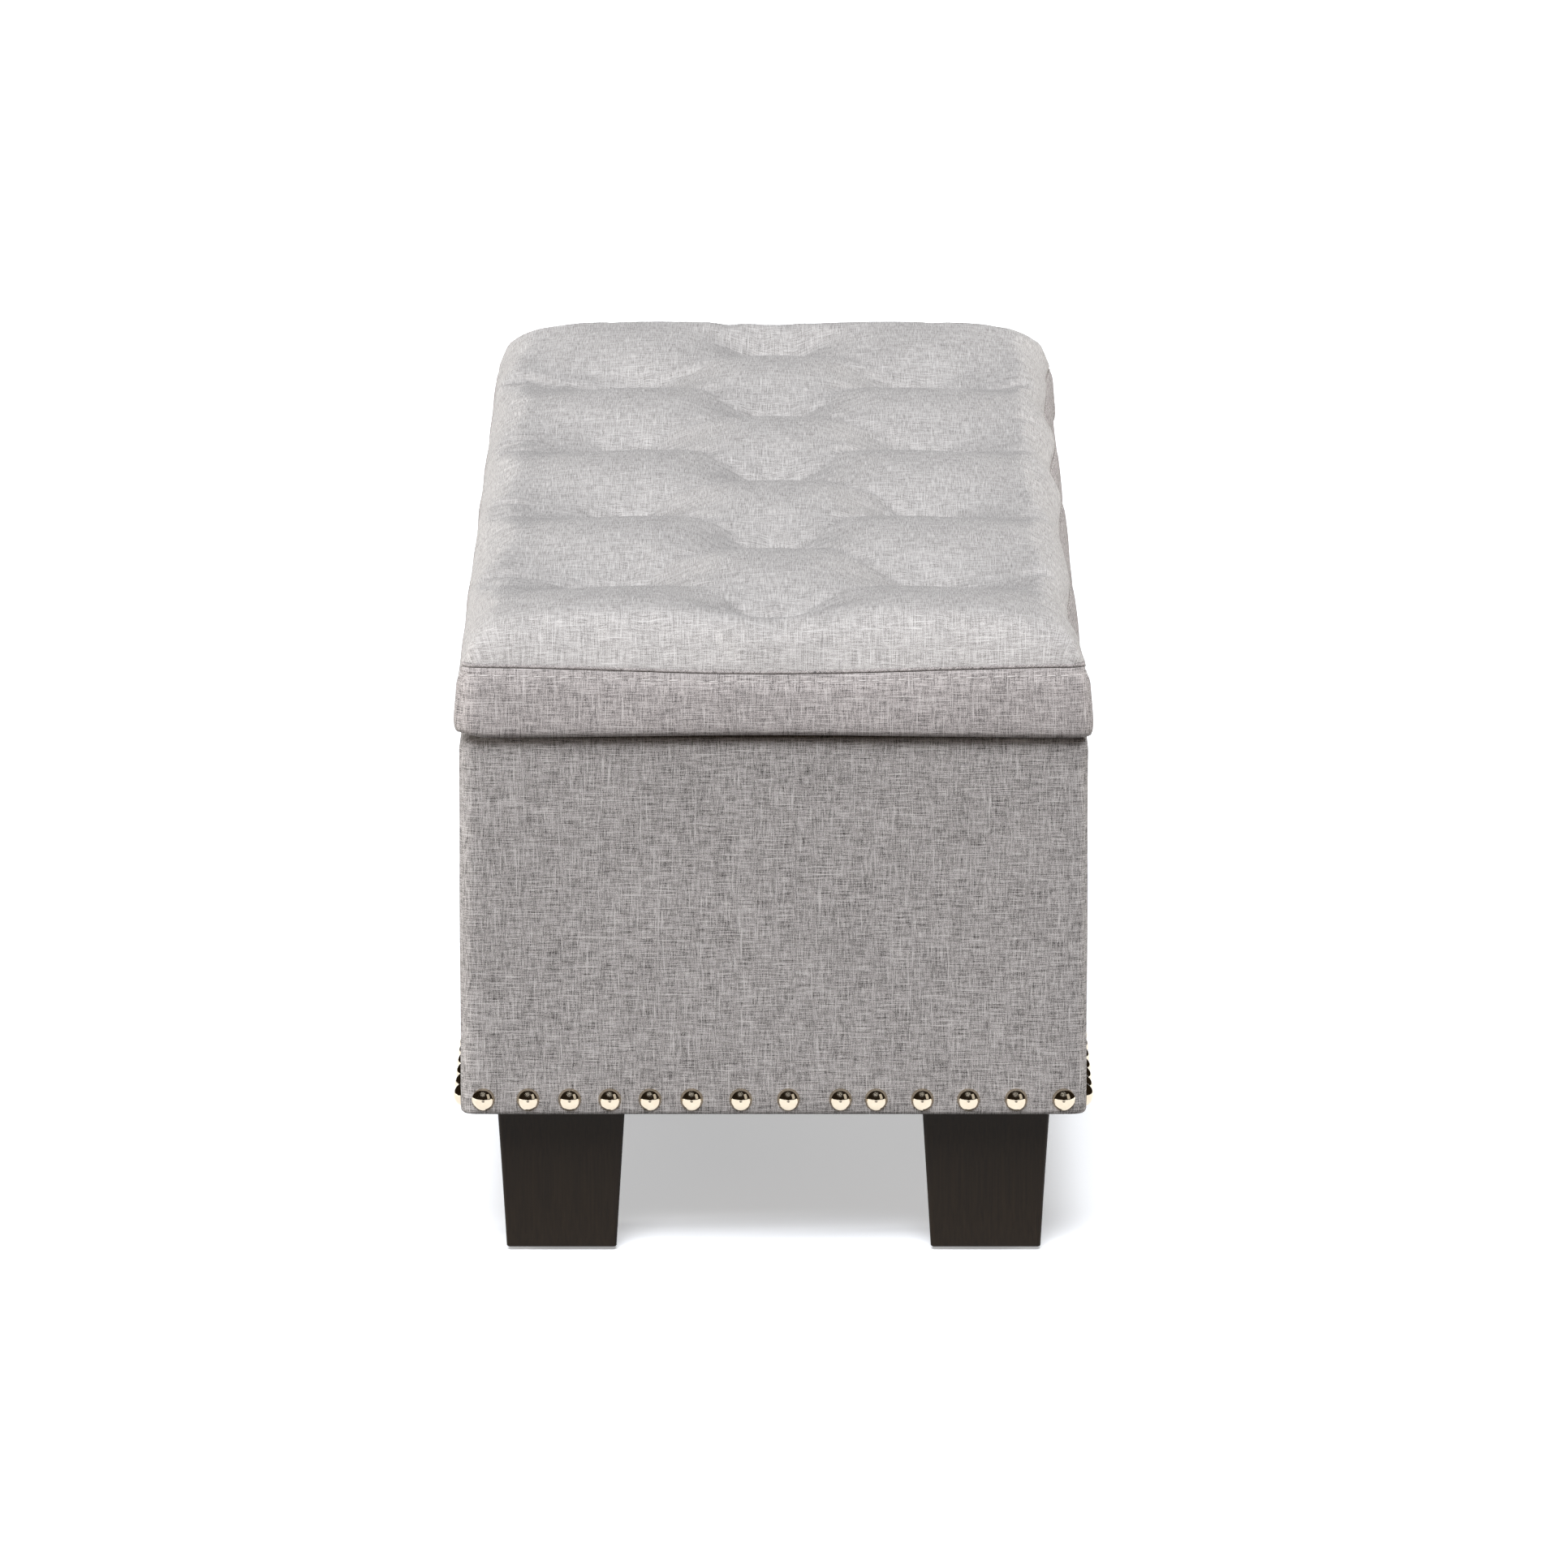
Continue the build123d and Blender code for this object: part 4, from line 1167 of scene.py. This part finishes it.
@dataclass
class Studio:
    """White floor, a broad high light from the front, low fills, a dim sky and the camera."""

    lens: float = 287.2
    sensor: float = 36.0
    camera: tuple[float, float, float] = (-8.770, -0.007, 2.021)
    tilt: float = 11.71
    view_end: float = 200.0
    sky: float = 0.1
    key: float = 5.2
    key_way: tuple[float, float, float] = (0.75, -0.1, -1.0)
    key_spread: float = 40.0
    floor_size: float = 60.0
    floor_glow: float = 0.32
    room: tuple[float, float] = (28.0, 10.0)
    room_sunk: float = 1.0  # foot of the walls, below the floor
    softbox: tuple[float, float, float] = (-3.0, -3.0, 2.0)
    softbox_size: tuple[float, float] = (2.0, 3.2)
    nail_row: tuple[float, float, float] = (0.0, 0.0, 0.11)

    def build_floor(self) -> None:
        """Lay a plain floor, white to the eye and grey to the light that it throws back."""
        bpy.ops.object.select_all(action="DESELECT")
        bpy.ops.mesh.primitive_plane_add(size=self.floor_size)
        floor = bpy.context.object
        floor.name = "studio_floor"
        material, tree, surface = new_material("matt_white_paper")
        seen = seen_directly(tree)
        tones = {0: seen, 6: linear("#808080"), 7: linear("#f3f3f3")}
        colour = node(tree, "ShaderNodeMix", tones, data_type="RGBA")
        glow = node(tree, "ShaderNodeMath", {0: seen, 1: self.floor_glow}, operation="MULTIPLY")
        tree.links.new(colour.outputs[2], surface.inputs["Base Color"])
        tree.links.new(glow.outputs[0], surface.inputs["Emission Strength"])
        surface.inputs["Emission Color"].default_value = linear("#ffffff")
        surface.inputs["Roughness"].default_value = 1.0
        surface.inputs["Specular IOR Level"].default_value = 0.0
        dress(floor, material)

    def build_light(self) -> None:
        """Set a dim sky, a broad high light from the front and the low fills."""
        scene = bpy.context.scene
        scene.world = bpy.data.worlds.new("studio")
        scene.world.use_nodes = True
        tree = scene.world.node_tree
        sky = tree.nodes["Background"]
        sky.inputs["Color"].default_value = linear("#f3f6ff")
        inputs = {"Value": seen_directly(tree), "To Min": self.sky, "To Max": 1.0}
        strength = node(tree, "ShaderNodeMapRange", inputs)
        tree.links.new(strength.outputs[0], sky.inputs["Strength"])
        bpy.ops.object.light_add(type="SUN", location=(-3, 1, 5))
        key = bpy.context.object
        key.name = "broad_key"
        key.data.energy = self.key
        key.data.color = linear("#f4f8ff")[:3]
        key.data.angle = math.radians(self.key_spread)
        key.rotation_euler = Vector(self.key_way).to_track_quat("-Z", "Y").to_euler()
        for lamp in FILLS:
            lamp.build()

    def mirror_card(self, obj: bpy.types.Object, name: str, colour: str) -> None:
        """Make a stage object that polished metal mirrors and nothing else sees.

        Args:
            obj: the card or wall.
            name: name of the object and of its material.
            colour: what the mirror shows.
        """
        obj.name = name
        material, _, surface = new_material(name)
        surface.inputs["Base Color"].default_value = linear("#000000")
        surface.inputs["Specular IOR Level"].default_value = 0.0
        surface.inputs["Emission Color"].default_value = linear(colour)
        surface.inputs["Emission Strength"].default_value = 1.0
        dress(obj, material)
        obj.visible_camera = obj.visible_diffuse = False
        obj.visible_shadow = obj.visible_transmission = False

    def build_room(self) -> None:
        """Stand the dark studio round the bench, and the softbox that shows in each nail."""
        wide, high = self.room
        bpy.ops.object.select_all(action="DESELECT")
        bpy.ops.mesh.primitive_cube_add(size=1, location=(0, 0, high / 2 - self.room_sunk))
        walls = bpy.context.object
        walls.scale = (wide, wide, high)
        self.mirror_card(walls, "dark_studio_walls", "#2a231b")
        bpy.ops.mesh.primitive_plane_add(size=1, location=self.softbox)
        panel = bpy.context.object
        panel.scale = (*self.softbox_size, 1)
        way = Vector(self.nail_row) - Vector(self.softbox)
        panel.rotation_euler = way.to_track_quat("-Z", "Y").to_euler()
        self.mirror_card(panel, "softbox_panel", "#e8e6e2")

    def build_camera(self) -> None:
        """Put the camera where the photograph was taken from."""
        bpy.ops.object.camera_add(location=self.camera)
        camera = bpy.context.object
        camera.rotation_euler = (math.radians(90 - self.tilt), 0, math.radians(-90))
        camera.data.lens = self.lens
        camera.data.sensor_width = self.sensor
        camera.data.clip_end = self.view_end
        bpy.context.scene.camera = camera
        bpy.context.scene.view_settings.view_transform = "Standard"


def place(obj: bpy.types.Object, body: Body, slot: str, replaced: Iterable[str] = ()) -> None:
    """Tie a new piece to its body and hide the CAD nodes that it stands for.

    Args:
        obj: the piece.
        body: body that it rides on.
        slot: material slot of the record; not used.
        replaced: CAD nodes that it stands for.
    """
    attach(obj, body.value)
    if replaced:
        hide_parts(*replaced)
    LOG.info("%s: %d faces", obj.name, len(obj.data.polygons))


def main() -> None:
    """Build and dress the bench."""
    logging.basicConfig(level=logging.INFO)
    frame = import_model()
    finishes = {slot: finish.make() for slot, finish in SLOT_FINISH.items()}
    for part in frame["record"]["subparts"]:
        dress(frame["nodes"][part["node"]], finishes[part["material_slot"]])
    linen = finishes["linen_weave"]

    seam = SeamLine()
    band = LidBand(seam)
    trim = SeamTrim(band)
    crown = SeatCushion(seam)
    seat = crown.build()
    cords = TuftCords(crown).build()
    side = band.build()
    ridge = trim.build_ridge()
    stitches = trim.build_stitches()
    cover = BodyCover().build()
    # the seat wears the lighter copy of the cloth, painted light on the top
    dress(seat, SEAT_LINEN_PAINTED_LIGHT.make())
    for piece in (side, ridge):
        dress(piece, linen)
    # the box wears the deeper copy of the cloth, painted shade
    dress(cover, BOX_LINEN_PAINTED_SHADE.make())
    dress(stitches, THREAD.make())
    dress(cords, finishes["twine"])

    place(seat, Body.LID, "linen_weave", ["seat_cushion"])
    place(cords, Body.LID, "twine", ["tuft_twines"])
    place(side, Body.LID, "linen_weave", ["lid_border"])
    place(ridge, Body.LID, "linen_weave", ["seat_welt"])
    place(stitches, Body.LID, "twine")
    place(cover, Body.BENCH, "linen_weave", ["body_cover", "body_padding"])

    studio = Studio()
    studio.build_floor()
    studio.build_light()
    studio.build_room()
    studio.build_camera()


if __name__ == "__main__":
    main()
